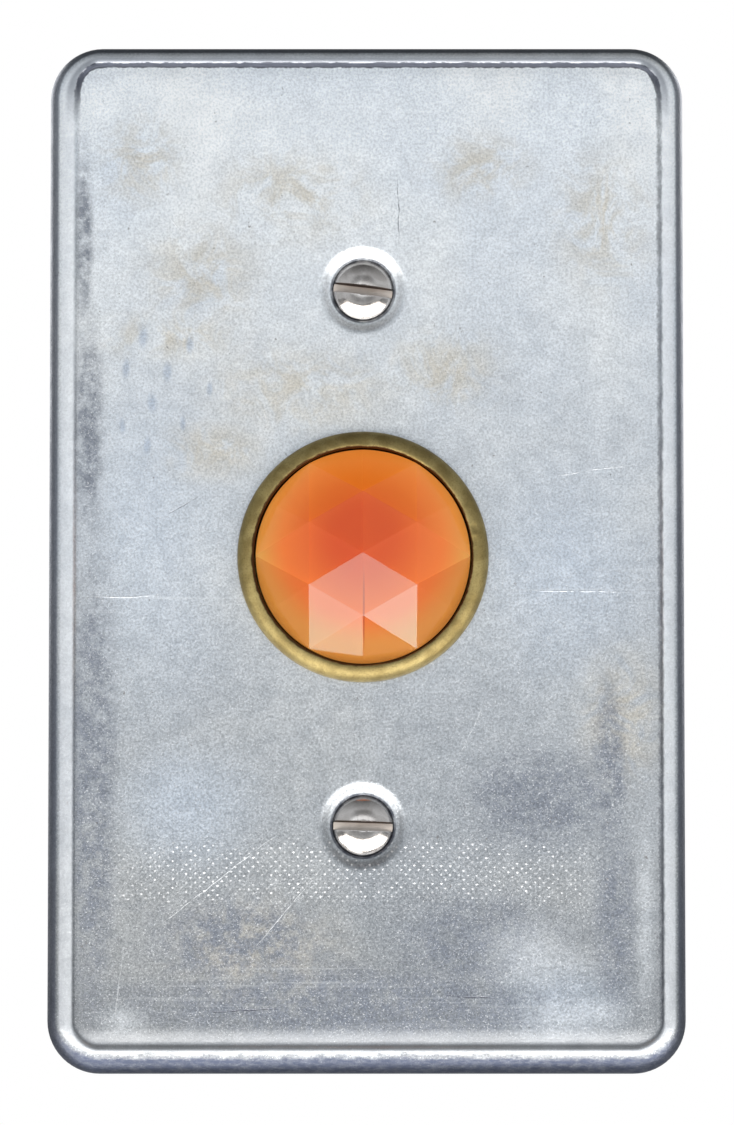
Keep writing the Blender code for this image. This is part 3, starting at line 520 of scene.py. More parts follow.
def oval_screw(end, sign, tilt):
    """Oval-head cover screw with a straight slot, tilted as it was left."""
    z = sign * SCREW_Z
    low, high = extent("plate_screw_" + end)
    edge, head, shank = -4.75, 3.32, 1.75
    radii = [head * k / 14 for k in range(15)]
    profile = [(r, low.y + (edge - 0.12 - low.y) * (r / head) ** 3.4) for r in radii]
    profile += [(3.34, edge - 0.04), (3.3, edge + 0.04), (shank, -3.35)]
    pitch, depth = 0.79, 0.22
    y = -3.0
    while y < high.y - 1.0:
        profile += [(shank, y), (shank - depth, y + pitch / 2)]
        y += pitch
    profile += [(1.6, high.y - 0.5), (1.2, high.y), (0, high.y)]
    screw = lathe("cover_screw_" + end, profile, 72, at=(0, 0, z))
    turn = Matrix.Translation((0, 0, z * MM)) @ turned_about(tilt)
    slot = box_tool("slot_" + end, (-5, low.y - 1, -0.52), (5, -4.85, 0.52), turn)
    groove = box_tool("groove_" + end, (-5, low.y - 1, 0.36), (5, -4.6, 0.54), turn)
    boolean(screw, slot, groove)
    finish_boolean(screw, smooth=35, bevel=0.03, angle=40)
    # 1 on the slot's walls and in its groove, for painted shade; 0.35 on its floor, for dirt
    slot_soil_and_shade = screw.data.attributes.new("slot_soil_and_shade", "FLOAT", "FACE").data
    across = Matrix.Rotation(radians(-tilt), 3, "Y")
    for face in screw.data.polygons:
        x, y, off = across @ (face.center / MM - Vector((0, 0, z)))
        in_slot = abs(off) < 0.6 and low.y + 0.1 < y < -4.55 and hypot(x, off) < head
        if in_slot and (abs(face.normal.y) < 0.5 or y > -4.8):
            slot_soil_and_shade[face.index].value = 1.0
        elif in_slot and abs(off) < 0.5 and y > -5.0:
            slot_soil_and_shade[face.index].value = 0.35
    return settle(screw, "plate_screw_" + end)


# ---- pieces behind the cover


def piece_name(node):
    return node + "_piece"


def band(node, inner, outer, edge, steps=128):
    """A flat ring with broken edges, between the CAD node's own depths."""
    front, back = depths(node)
    profile = [(inner + edge, front), (outer - edge, front), (outer, front + edge), (outer, back - edge)]
    profile += [(outer - edge, back), (inner + edge, back), (inner, back - edge), (inner, front + edge)]
    return lathe(piece_name(node), profile, steps, ring=True)


def round_piece(node, profile, steps=64, **placing):
    """A turned CAD node drawn again with more steps and broken edges."""
    piece = lathe(piece_name(node), profile, steps, **placing)
    return settle(bake(piece, 32), node)


def turned_about(angle):
    return Matrix.Rotation(radians(angle), 4, "Y")


def build_bezel_fixings():
    settle(bake(band("bezel_washer", COVER_HOLE, 15.5, 0.12), 32), "bezel_washer")
    nut = band("bezel_nut", BARREL + 0.1, 15.9, 0.2, 144)
    for k in range(4):
        boolean(nut, box_tool("notch_%d" % k, (14.7, -5, -1.5), (17, 0, 1.5), turned_about(45 + 90 * k)))
    settle(finish_boolean(nut, bevel=0.08), "bezel_nut")


def build_button_fittings():
    """Seal, snap ring and sleeve of the jewel."""
    settle(bake(band("lens_seal", 11.1, 11.9, 0.1), 60), "lens_seal")
    ring = band("lens_snap_ring", 10.45, 11.4, 0.14)
    boolean(ring, box_tool("gap", (9, -6, -1.2), (13, -3, 1.2)))
    settle(finish_boolean(ring), "lens_snap_ring")
    outside = [(11.35, -4.9), (11.85, -4.9), (12.0, -4.75), (12.0, -1.6), (13.5, -1.6), (13.6, -1.5)]
    outside += [(13.6, -0.9), (13.5, -0.8), (12.0, -0.8), (12.0, 0.05), (11.85, 0.2), (11.35, 0.2)]
    profile = outside + [(11.2, 0.05), (11.2, -3.9), (11.5, -3.9), (11.5, -4.7), (11.2, -4.7), (11.2, -4.8)]
    round_piece("button_sleeve", profile, 144, ring=True)


def build_plunger():
    profile = [(13.5, -0.7), (13.6, -0.6), (13.6, 1.5), (13.5, 1.6), (9.5, 1.6), (9.4, 1.5), (9.4, 0.4)]
    profile += [(9.5, 0.3), (12.1, 0.3), (12.1, -0.7)]
    ring = lathe(piece_name("plunger"), profile, 144, ring=True)
    for z in (-BRIDGE_Z, BRIDGE_Z):
        boolean(ring, box_tool("leg", (-2.6, 0.7, z - 1.6), (2.6, 13.6, z + 1.6)), operation="UNION")
    boolean(ring, lathe("pin_hole", [(0, 9.2), (1.0, 9.2), (1.0, 15), (0, 15)], 32, at=(0, 0, BRIDGE_Z)))
    settle(finish_boolean(ring, bevel=0.15, segments=3), "plunger")


def pan_screw(node, at, head, shank, length, inward=(0, 1, 0), tilt=0.0, pitch=0.7, plain=0.0):
    """Slotted pan-head screw, threaded past its plain part; its head rests at its own depth 0."""
    height, rounding = 1.6, 0.75
    turns = [radians(15 * k - 90) for k in range(7)]
    profile = [(0, -height)]
    profile += [(head + rounding * (cos(a) - 1), rounding * (sin(a) + 1) - height) for a in turns]
    profile += [(head, -0.12), (head - 0.12, 0), (shank, 0), (shank, plain + pitch)]
    depth = plain + pitch
    while depth < length - pitch:
        profile += [(shank - 0.24, depth + pitch / 2), (shank, depth + pitch)]
        depth += pitch
    profile += [(shank - 0.5, length), (0, length)]
    screw = lathe(piece_name(node), profile, 48, inward, at)
    place = axis_matrix(inward, at) @ turned_about(tilt)
    slot = box_tool("slot", (-5, -height - 1, -0.45), (5, -height * 0.45, 0.45), place)
    boolean(screw, slot)
    settle(finish_boolean(screw, bevel=0.05, angle=50), node)


def build_screws():
    for end in ("top", "bottom"):
        strap_at = middle_z("strap_screw_" + end)
        body_at = middle_z("body_screw_" + end)
        pan_screw("strap_screw_" + end, (0, -1.6, strap_at), 3.4, 1.75, 18.0, tilt=25, pitch=0.79)
        pan_screw("body_screw_" + end, (0, -0.8, body_at), 2.8, 1.5, 36.8, tilt=-15, plain=26.0)
        hex_nut("body_nut_" + end, body_at)
    for low_high, end in (("lower", -1), ("upper", 1)):
        for label, side in (("left", -1), ("right", 1)):
            node, at = "terminal_screw_%s_%s" % (low_high, label), (side * 15.7, 15.0, end * 19.5)
            pan_screw(node, at, 3.3, 1.6, 5.6, (-side, 0, 0), 30 * side * end)


def hex_nut(node, z):
    front, back = depths(node)
    bore, reach = 1.6, 3.1
    profile = [(bore + 0.25, front), (reach - 0.45, front), (reach, front + 0.3), (reach, back - 0.3)]
    profile += [(reach - 0.45, back), (bore + 0.25, back), (bore, back - 0.25), (bore, front + 0.25)]
    nut = lathe(piece_name(node), profile, 96, at=(0, 0, z), ring=True)
    sides = [(0, front - 1), (reach, front - 1), (reach, back + 1), (0, back + 1)]
    boolean(nut, lathe("hexagon", sides, 6, at=(0, 0, z)), operation="INTERSECT")
    settle(finish_boolean(nut, bevel=0.05), node)


def trimmed(node, edge, segments=2):
    """A flat-sided CAD node with its edges broken; normals weighted by area keep its flats flat."""
    bm = bmesh.new()
    bm.from_mesh(frame["nodes"][node].data)
    bmesh.ops.remove_doubles(bm, verts=bm.verts, dist=1e-6)
    bmesh.ops.dissolve_limit(bm, angle_limit=radians(1), verts=bm.verts, edges=bm.edges)
    piece = make_object(piece_name(node), mesh_from(bm, piece_name(node)))
    imported = piece.data.attributes.get("custom_normal")
    if imported:
        piece.data.attributes.remove(imported)
    piece.data.shade_smooth()
    add_bevel(piece, edge, segments, 30).modifiers["Edges"].use_clamp_overlap = False
    piece.modifiers.new("Normals", "WEIGHTED_NORMAL")
    apply_modifiers(piece)
    settle(piece, node)


def build_contacts():
    for side, label in ((-1, "left"), (1, "right")):
        for kind in ("moving_tip_", "fixed_tip_"):
            front, back = depths(kind + label)
            domed, flat = (back, front) if kind == "moving_tip_" else (front, back)
            away = 1 if domed > flat else -1
            turns = [pi / 2 * k / 8 for k in range(9)]
            crown = [(1.4 * sin(a), domed - away * 0.22 * (1 - cos(a))) for a in turns]
            round_piece(kind + label, crown + [(1.4, flat), (0, flat)], at=(side * 8.0, 0, BRIDGE_Z))
        trimmed("fixed_contact_" + label, 0.1)
    for node in ("contact_bridge", "centre_contact", "lamp_terminal"):
        trimmed(node, 0.1)
    pin = [(0, 9.6), (0.75, 9.6), (0.9, 9.75), (0.9, 17.2), (1.6, 17.2), (1.7, 17.3), (1.7, 17.75)]
    pin += [(1.45, 18.0), (0, 18.0)]
    round_piece("bridge_pin", pin, 48, at=(0, 0, BRIDGE_Z))


def wire_piece(node, path, radius, sides=12):
    """A round wire swept along points, with closed ends."""
    bm = bmesh.new()
    places = [Vector(point) for point in path]
    last = len(places) - 1
    across = (places[1] - places[0]).orthogonal()
    rings = []
    for k, here in enumerate(places):
        ahead = (places[min(k + 1, last)] - places[max(k - 1, 0)]).normalized()
        across = (across - ahead * across.dot(ahead)).normalized()
        up = ahead.cross(across)
        around = [here + (across * x + up * z) * radius for x, z in circle(1.0, sides)]
        rings.append([bm.verts.new(point * MM) for point in around])
    for a, b in zip(rings, rings[1:]):
        join(bm, a, b)
    bm.faces.new(rings[0])
    bm.faces.new(rings[-1])
    return settle(bake(solid(bm, piece_name(node)), 50), node)


def helix(radius, wire, turns, front, back, at_z=0.0, per_turn=40):
    """Points of a compression spring along the depth axis, with a closed turn at each end."""
    closed = 0.75
    total = turns + 2 * closed
    first, last = front + wire, back - wire
    end_turn = closed * 2 * wire * (1 - turns / total)
    points = []
    for k in range(round(total * per_turn) + 1):
        wound = k / per_turn
        along = min(max((wound - closed) / turns, 0.0), 1.0)
        depth = first + end_turn * min(wound / closed, 1.0) + (last - first - 2 * end_turn) * along
        depth += end_turn * max((wound - closed - turns) / closed, 0.0)
        angle = tau * wound
        points.append((radius * cos(angle), depth, at_z + radius * sin(angle)))
    return points


def build_springs():
    """Both springs are drawn at rest, each with its own mesh."""
    spring = wire_piece("return_spring", helix(12.9, 0.5, 3.5, 1.7, 9.9), 0.5)
    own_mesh(spring)
    spring = wire_piece("contact_spring", helix(1.5, 0.2, 2.5, 13.7, 16.2, BRIDGE_Z), 0.2)
    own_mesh(spring)


def build_lamp():
    outer, neck, wall = 5.0, 4.0, 0.5
    turns = [pi / 2 * k / 14 for k in range(15)]
    glass = [(outer * sin(a), 1.6 + outer * (1 - cos(a))) for a in turns]
    glass += [(outer, 17.6), (neck, 18.8), (neck, 21.2)]
    inner = outer - wall
    bore = [(inner * sin(a), 2.1 + inner * (1 - cos(a))) for a in reversed(turns)]
    glass += [(neck - wall, 21.2), (neck - wall, 18.8), (inner, 17.6)] + bore
    round_piece("lamp_glass", glass, 72)
    bow = [(-2.2 * cos(a), 8.5 - sin(a), 0) for a in (pi * k / 16 for k in range(17))]
    wire_piece("lamp_filament", [(-1.4, 20.8, 0)] + bow + [(1.4, 20.8, 0)], 0.15, 8)
    shell = band("lamp_base", 4.2, 4.6, 0.1, 96)
    pin = [(0, 0), (0.7, 0), (0.9, 0.2), (0.9, 1.1), (0, 1.1)]
    for side in (-1, 1):
        stud = lathe("lamp_pin", pin, 32, (-side, 0, 0), (side * 5.5, PIN_DEPTH, 0))
        boolean(shell, stud, operation="UNION")
    settle(finish_boolean(shell), "lamp_base")
    settle(bake(band("lamp_insulator", 1.5, 4.1, 0.1, 96), 32), "lamp_insulator")
    tip = [(0, 27.7), (1.35, 27.7), (1.35, 29.0), (1.25, 29.2), (1.0, 29.38), (0.6, 29.47), (0, 29.5)]
    round_piece("lamp_tip", tip, 48)


def build_socket():
    """Bayonet tube: each slot runs in from the front and turns to where the pin is locked."""
    bore, half, reach = 4.85, 1.1, 7.0
    socket = band("lamp_socket", bore, 5.35, 0.1, 128)
    margin = degrees(half / bore)
    for k in range(2):
        bm = bmesh.new()
        start, end = radians(180 * k - margin), radians(180 * k + UNLOCK_ANGLE + margin)
        arcs = [mix(start, end, i / 12) for i in range(13)]
        plan = [(0, 0)] + [(reach * cos(a), reach * sin(a)) for a in arcs]
        sides = [[bm.verts.new(Vector((x, depth, z)) * MM) for x, z in plan]
                 for depth in (PIN_DEPTH - half, PIN_DEPTH + half)]
        for side in sides:
            bm.faces.new(side)
        join(bm, *sides)
        turn = turned_about(-180 * k - UNLOCK_ANGLE)
        way_in = box_tool("way_in_%d" % k, (0.5, 15, -half), (reach, PIN_DEPTH, half), turn)
        boolean(socket, solid(bm, "lock_%d" % k), way_in)
    settle(finish_boolean(socket), "lamp_socket")


def build_inner_pieces():
    build_bezel_fixings()
    build_button_fittings()
    build_plunger()
    build_screws()
    build_contacts()
    build_springs()
    build_lamp()
    build_socket()
    trimmed("mounting_strap", 0.15)
    trimmed("switch_block", 0.2)
    trimmed("rear_plate", 0.35, 3)


# ---- node material helpers


class Nodes:
    """Writes a node tree as a chain of sockets."""

    def __init__(self, tree, place="Object"):
        self.tree = tree
        self.place = self.add("ShaderNodeTexCoord").outputs[place]

    def add(self, kind, inputs=None, **settings):
        node = self.tree.nodes.new(kind)
        for key, value in settings.items():
            setattr(node, key, value)
        for key, value in (inputs or {}).items():
            self.feed(node.inputs[key], value)
        return node

    def feed(self, socket, value):
        """Links another socket or sets a constant; a colour may leave out its alpha."""
        if isinstance(value, bpy.types.NodeSocket):
            self.tree.links.new(value, socket)
        elif value is not None:
            socket.default_value = (*value, 1.0) if socket.type == "RGBA" and len(value) == 3 else value

    def math(self, operation, a, b=None):
        return self.add("ShaderNodeMath", {0: a, 1: b}, operation=operation).outputs[0]

    def times(self, first, *others):
        for other in others:
            first = self.math("MULTIPLY", first, other)
        return first

    def plus(self, a, b):
        return self.math("ADD", a, b)

    def minus(self, a, b):
        return self.math("SUBTRACT", a, b)

    def larger(self, a, b):
        return self.math("MAXIMUM", a, b)

    def size(self, value):
        return self.math("ABSOLUTE", value)

    def length(self, vector):
        return self.add("ShaderNodeVectorMath", {0: vector}, operation="LENGTH").outputs["Value"]

    def axes(self, vector):
        return self.add("ShaderNodeSeparateXYZ", {0: vector}).outputs

    def axis(self, name):
        """X, Y or Z on the object, in millimetres."""
        return self.times(self.axes(self.place)[name], TO_MM)

    def stored(self, name):
        """A value that the mesh stores at its points or faces."""
        return self.add("ShaderNodeAttribute", attribute_name=name).outputs["Fac"]

    def ramp(self, value, low, high, to_low=0.0, to_high=1.0):
        inputs = {"Value": value, "From Min": low, "From Max": high, "To Min": to_low, "To Max": to_high}
        return self.add("ShaderNodeMapRange", inputs, interpolation_type="SMOOTHSTEP").outputs["Result"]

    def colour(self, fac, a, b, blend="MIX"):
        return self.add("ShaderNodeMix", {0: fac, 6: a, 7: b}, data_type="RGBA", blend_type=blend).outputs[2]

    def scaled(self, scale, shift=(0, 0, 0)):
        """Object coordinates in millimetres, then scaled per axis."""
        inputs = {"Vector": self.place, "Scale": [TO_MM * s for s in scale], "Location": shift}
        return self.add("ShaderNodeMapping", inputs).outputs[0]

    def noise(self, scale, detail=3.0, rough=0.5, shift=(0, 0, 0), distort=0.0, output="Fac"):
        """Noise with a given number of cycles per millimetre, the same or different for each axis."""
        place = self.scaled(scale if isinstance(scale, tuple) else (scale,) * 3, shift)
        inputs = {"Vector": place, "Scale": 1.0, "Detail": detail, "Roughness": rough, "Distortion": distort}
        return self.add("ShaderNodeTexNoise", inputs).outputs[output]

    def uneven(self, low, high, *noise):
        """A value that wanders smoothly between two levels."""
        return self.ramp(self.noise(*noise), 0.3, 0.7, low, high)

    def wavy(self, amount, scale):
        """Object coordinates shifted a little by noise, so that marks drawn on them aren't regular."""
        inputs = {0: self.noise(scale, 2.0, output="Color"), 1: (amount * MM,) * 3, 2: self.place}
        return self.add("ShaderNodeVectorMath", inputs, operation="MULTIPLY_ADD").outputs[0]

    def spot(self, x, z, wide, tall, turn=0.0, core=0.0, place=None):
        """1 at a point on the face, falling to 0 at an ellipse round it with the given half-sizes."""
        inputs = {"Vector": place or self.place, "Location": (x * MM, 0, z * MM)}
        inputs |= {"Rotation": (0, radians(-turn), 0), "Scale": (wide * MM, 1, tall * MM)}
        node = self.add("ShaderNodeMapping", inputs, vector_type="TEXTURE")
        return self.ramp(self.length(node.outputs[0]), core, 1.0, 1.0, 0.0)

    def spots(self, marks, core=0.0, place=None):
        """The strongest of several spots at each point."""
        total, *others = (self.spot(*mark, core=core, place=place) for mark in marks)
        for other in others:
            total = self.larger(total, other)
        return total

    def bump(self, height, distance, strength=1.0, normal=None):
        inputs = {"Height": height, "Distance": distance * MM, "Strength": strength, "Normal": normal}
        return self.add("ShaderNodeBump", inputs).outputs["Normal"]


class Finish(Nodes):
    """A material whose base colour is built up in layers."""

    def __init__(self, name):
        self.material = bpy.data.materials.new(name)
        self.material.use_nodes = True
        super().__init__(self.material.node_tree)

    def start(self, fac, dark, light):
        self.base = self.colour(fac, dark, light)

    def lay(self, colour, cover, share=1.0):
        """Paints a colour over the base, where and as strongly as its cover says."""
        self.base = self.colour(cover if share == 1.0 else self.times(cover, share), self.base, colour)

    def dim(self, factor):
        grey = self.add("ShaderNodeCombineColor", {0: factor, 1: factor, 2: factor}).outputs[0]
        self.base = self.colour(1.0, self.base, grey, "MULTIPLY")

    def done(self, **values):
        """Feeds the shader, whose base colour is the layers unless another is given."""
        shader = self.tree.nodes["Principled BSDF"]
        for key, value in {"Base_Color": self.base, **values}.items():
            self.feed(shader.inputs[key.replace("_", " ")], value)
        return self.material


# ---- materials


# marks on the cover: x, z, half width, half height and sometimes a turn in degrees
STAINS = ((-8, 41, 13, 8), (-18, 32, 10, 9), (-7, 19, 15, 7), (9, 21, 10, 7), (-25, 45, 7, 8), (13, 44, 9, 6),
          (27, 38, 8, 12), (-22, 25, 12, 4), (29, -18, 7, 11), (-12, -44, 14, 8), (-17, 12, 9, 5))
# painted shade: dark patches along the bottom and bands beside the side creases
SHADE_BANDS = ((-2, -50, 34, 6), (8, -50.5, 22, 5.5), (-14, -43, 14, 7), (28.2, -41, 3.2, 15),
           (27.6, -24, 2.8, 14), (13, -43, 13, 7), (20, -27, 12, 8), (-30.2, -24, 3.8, 38),
           (-30.8, 14, 2.4, 18), (-31.4, 36, 1.4, 14))
# painted highlights: light patches along the top, low on the right and at the bottom left
PAINTED_HIGHLIGHTS = ((19.5, -44.5, 8.5, 5.5), (24, -51.5, 9, 3.2), (-27, -52, 4, 2.5), (0, 50.5, 30, 3.5),
          (31.5, -40, 1.6, 16))
BLUISH = ((-24, 2, 13, 26), (-27, 44, 10, 12), (22, -2, 14, 16), (-20, -28, 12, 10), (22, -50, 11, 7))
DRIPS = ((-24.5, 25, 0.8, 1.8), (-21.8, 21.2, 0.7, 1.5), (-23.4, 17.6, 0.8, 1.6), (-26.4, 21.5, 0.6, 1.5),
         (-19.2, 24.2, 0.6, 1.4), (-24, 12.8, 0.7, 1.3), (-20, 15.2, 0.5, 1.2), (-17, 19.3, 0.5, 1.2),
         (-26.8, 15, 0.5, 1.2))
LIGHT_SCRATCHES = ((17.3, 45.6, 5.6, 0.17, 88), (18.6, 50.2, 2.6, 0.15, 70), (-16, -36, 11, 0.07, 38),
                   (-8, -39, 9, 0.06, 50), (-21, 38, 3, 0.07, 130), (26, 10, 6, 0.06, 8),
                   (-26.5, -4.2, 5.5, 0.10, 1), (24, -3.6, 8, 0.08, -1), (4, 51, 3, 0.07, 96),
                   (12, -20, 7, 0.05, 64), (-27, -48, 5, 0.06, 84), (28, 32, 5, 0.06, 95))
DARK_SCRATCHES = ((4.2, 39.5, 4.6, 0.09, 91), (-13, -50.5, 5, 0.10, 2), (12, -49, 4, 0.09, -3),
                  (-20, 6, 3, 0.07, 30))


def galvanised_cover():
    m = Finish("galvanised_cover")
    x, z = m.axis("X"), m.axis("Z")
    wavy = m.wavy(0.5, 0.35)
    grain = m.noise(3.6, 4.0, 0.70)
    smudge = m.noise((0.16, 0.1, 0.22), 6.0, 0.62, (7, 4, 9), 0.8)
    cloud = m.ramp(m.noise(0.05, 2.0, 0.45, (1, 2, 3), 0.4), 0.35, 0.68)
    m.start(cloud, (0.66, 0.695, 0.735), (0.76, 0.780, 0.79))
    m.lay((0.53, 0.555, 0.59), m.ramp(smudge, 0.50, 0.72, 0.0, m.ramp(z, -15.0, -50.0, 0.35, 0.58)))
    # painted light and shade: the cover is made lighter towards the top and darker towards the bottom
    m.dim(m.math("MINIMUM", m.plus(m.times(z, 0.0082), 0.86), 1.26))

    # stains, painted shade in speckled bands, and painted highlights
    m.lay((0.60, 0.69, 0.82), m.spots(BLUISH), 0.40)
    blotch = m.ramp(m.noise(0.24, 5.0, 0.65, (4, 8, 2), 1.0), 0.36, 0.62)
    m.lay((0.63, 0.575, 0.475), m.times(m.spots(STAINS), blotch), 0.74)
    speckled = m.ramp(m.noise(0.62, 6.0, 0.75, (6, 2, 2)), 0.32, 0.64, 0.20, 1.0)
    # painted shade, speckled by noise, in bands along the bottom and beside the side creases
    painted_shade = m.times(m.spots(SHADE_BANDS, 0.3), speckled)
    m.lay((0.20, 0.22, 0.26), painted_shade, 0.95)
    # painted highlights
    m.lay((0.84, 0.87, 0.90), m.times(m.spots(PAINTED_HIGHLIGHTS), m.ramp(smudge, 0.35, 0.7, 1.0, 0.6)), 0.42)
    m.lay((0.37, 0.44, 0.55), m.spots(DRIPS, 0.2, wavy), 0.55)

    # fine grain of the zinc, with bright sparkles and dark pits
    m.dim(m.plus(m.times(m.ramp(grain, 0.30, 0.70, -1.0, 1.0), m.ramp(z, 20.0, -40.0, 0.20, 0.28)), 1.0))
    m.lay((0.97, 0.98, 1.0), m.ramp(m.noise(6.5, 2.0, 0.6, (3, 1, 5)), 0.58, 0.72, 0.0, 0.6))
    for density, shift, low in ((0.8, (9, 9, 9), 0.69), (1.7, (2, 6, 5), 0.71)):
        m.lay((0.20, 0.18, 0.17), m.ramp(m.noise(density, 3.0, 0.75, shift), low, low + 0.06, 0.0, 0.75))

    # scratches and horizontal rubbing
    rub = m.ramp(m.noise((0.035, 0.1, 2.6), 2.0, 0.5, (5, 2, 1)), 0.56, 0.72)
    rub_zone = m.plus(m.spot(0, -5, 60, 9), m.times(m.spot(0, -48, 50, 8), 0.6))
    m.lay((0.93, 0.95, 0.97), m.times(rub, rub_zone), 0.30)
    broken = m.ramp(m.noise(1.1, 3.0, 0.6, (1, 9, 4)), 0.38, 0.55, 0.15, 1.0)
    light = m.times(m.spots(LIGHT_SCRATCHES, 0.3, wavy), broken)
    dark = m.times(m.spots(DARK_SCRATCHES, 0.3, wavy), broken)
    m.lay((0.97, 0.98, 0.99), light, 0.5)
    m.lay((0.10, 0.10, 0.13), dark, 0.85)

    # the faint diamond print of a roller, about 1 mm apart, in a band below the lower screw
    bowed = m.plus(z, m.times(x, x, 0.0012))
    rise = m.math("SINE", m.times(m.plus(x, bowed), tau))
    fall = m.math("SINE", m.times(m.minus(x, bowed), tau))
    dots = m.ramp(m.math("MINIMUM", rise, fall), 0.25, 0.95)
    band = m.times(m.ramp(bowed, -40.0, -37.0), m.ramp(bowed, -30.5, -32.5))
    across = m.ramp(m.size(m.plus(x, 1.0)), 20.0, 32.0, 1.0, 0.0)
    patchy = m.ramp(m.noise(0.7, 6.0, 0.85, (8, 1, 8)), 0.42, 0.64)
    dots = m.times(m.times(dots, band), m.times(across, patchy))
    m.lay((1.0, 1.0, 1.0), dots)

    # painted shade on the outside of the roll and painted highlights on it and by the crease; a dark line of
    # dirt and painted shade lies in the crease and round the screws
    inset, under, seat = (m.stored(name) for name in ("inset", "under", "seat"))
    ragged = m.times(m.minus(m.noise((0.6, 0.6, 1.6), 5.0, 0.75, (2, 8, 2)), 0.5), 1.1)
    rim_shade_edge = m.plus(m.times(under, m.plus(ragged, 0.62)), 0.95)
    # painted highlight: a light band across the roll, between its darkened outside and the crease
    painted_rim_highlight = m.times(m.ramp(inset, rim_shade_edge, m.plus(rim_shade_edge, 0.3)), m.ramp(inset, 2.5, 2.3))
    m.lay((0.95, 0.97, 1.0), painted_rim_highlight, 0.5)
    # painted shade: the outside of the roll darkened, more widely and more strongly along the bottom
    painted_rim_shade = m.ramp(inset, m.times(rim_shade_edge, 0.72), m.times(rim_shade_edge, 1.06), 1.0, 0.0)
    patches = m.ramp(m.noise((0.9, 0.9, 2.4), 4.0, 0.7, (5, 5, 5)), 0.35, 0.65, -0.12, 0.10)
    painted_rim_shade = m.times(painted_rim_shade, m.plus(m.times(under, m.plus(patches, 0.17)), 0.76))
    m.lay(m.colour(under, (0.095, 0.105, 0.14), (0.065, 0.075, 0.11)), painted_rim_shade)
    above = m.ramp(z, 48.0, 54.0)
    # painted shade on the inner side of the roll along the top
    m.lay((0.30, 0.32, 0.36), m.times(m.ramp(inset, 1.3, 1.8), m.ramp(inset, 2.9, 2.6), above), 0.74)
    # painted highlight: a light band just inside the crease along the bottom
    m.lay((0.97, 0.98, 1.0), m.times(m.ramp(inset, 2.2, 2.5), m.ramp(inset, 5.4, 4.2), under), 0.42)
    # a dark line of dirt and painted shade in the crease, strongest along the top, and round each screw seat;
    # noise breaks it up except along the top
    sided = m.larger(m.ramp(x, -33.0, -30.0, 0.12, 0.65), above)
    sided = m.times(sided, m.ramp(z, -54.0, -51.0, 0.1, 1.0))
    wobble = m.uneven(-0.10, 0.10, 0.9, 4.0, 0.7, (4, 4, 4))
    away = m.size(m.minus(inset, m.plus(wobble, CREASE_AT - 0.06)))
    crease = m.times(m.ramp(away, m.plus(m.times(above, 0.14), 0.10), 0.40, 1.0, 0.0), sided)
    ring = m.ramp(m.size(m.minus(seat, 3.50)), 0.12, 0.30, 1.0, 0.0)
    crease_breakup = m.ramp(m.noise(0.7, 4.0, 0.65, (6, 6, 1)), 0.25, 0.6, 0.45, 1.0)
    dirt_and_shade = m.times(m.larger(crease, ring), m.larger(crease_breakup, above))
    m.lay((0.045, 0.05, 0.07), dirt_and_shade, 0.92)

    rough = m.plus(m.uneven(0.34, 0.46, 0.5, 4.0, 0.6, (3, 3, 3)), m.times(m.larger(dirt_and_shade, painted_shade), 0.12))
    pits = m.bump(m.noise(1.1, 5.0, 0.7, (1, 7, 7)), 0.05, 0.5)
    printed = m.bump(dots, 0.05, 0.7, m.bump(grain, 0.035, 0.7, pits))
    return m.done(Metallic=0.9, Roughness=rough, Normal=m.bump(m.minus(dark, light), -0.03, 0.5, printed))


def aged_brass(name="aged_brass", lip=None):
    """Dull brass with a fine grain; given a lip radius, painted shade makes it nearly black inside that
    radius and darker towards the bottom.
    """
    m = Finish(name)
    fine = m.noise(5.0, 5.0, 0.7)
    m.start(m.uneven(0.0, 1.0, 0.35, 5.0, 0.6, (2, 2, 4), 0.6), (0.27, 0.20, 0.075), (0.45, 0.355, 0.15))
    m.lay((0.17, 0.12, 0.05), m.ramp(fine, 0.46, 0.70, 0.0, 0.6))
    if lip:
        wander = m.uneven(-0.09, 0.09, 0.6, 5.0, 0.7, (3, 3, 1))
        wander = m.plus(wander, m.ramp(m.axis("X"), -11.0, 2.0, 0.13, 0.0))
        inner = m.minus(m.length(m.scaled((1, 0, 1))), wander)
        # painted shade: near black just inside the lip radius, reaching further out on the left
        m.lay((0.045, 0.014, 0.006), m.ramp(inner, lip, lip + 0.16, 0.93, 0.0))
        # painted shade: the ring darker towards the bottom
        m.lay((0.12, 0.10, 0.05), m.ramp(m.axis("Z"), -3.0, -12.0, 0.0, 0.30))
    rough = m.uneven(0.42, 0.52, 1.2, 4.0, 0.6, (5, 1, 1))
    return m.done(Metallic=1.0, Roughness=rough, Normal=m.bump(fine, 0.03, 0.6))


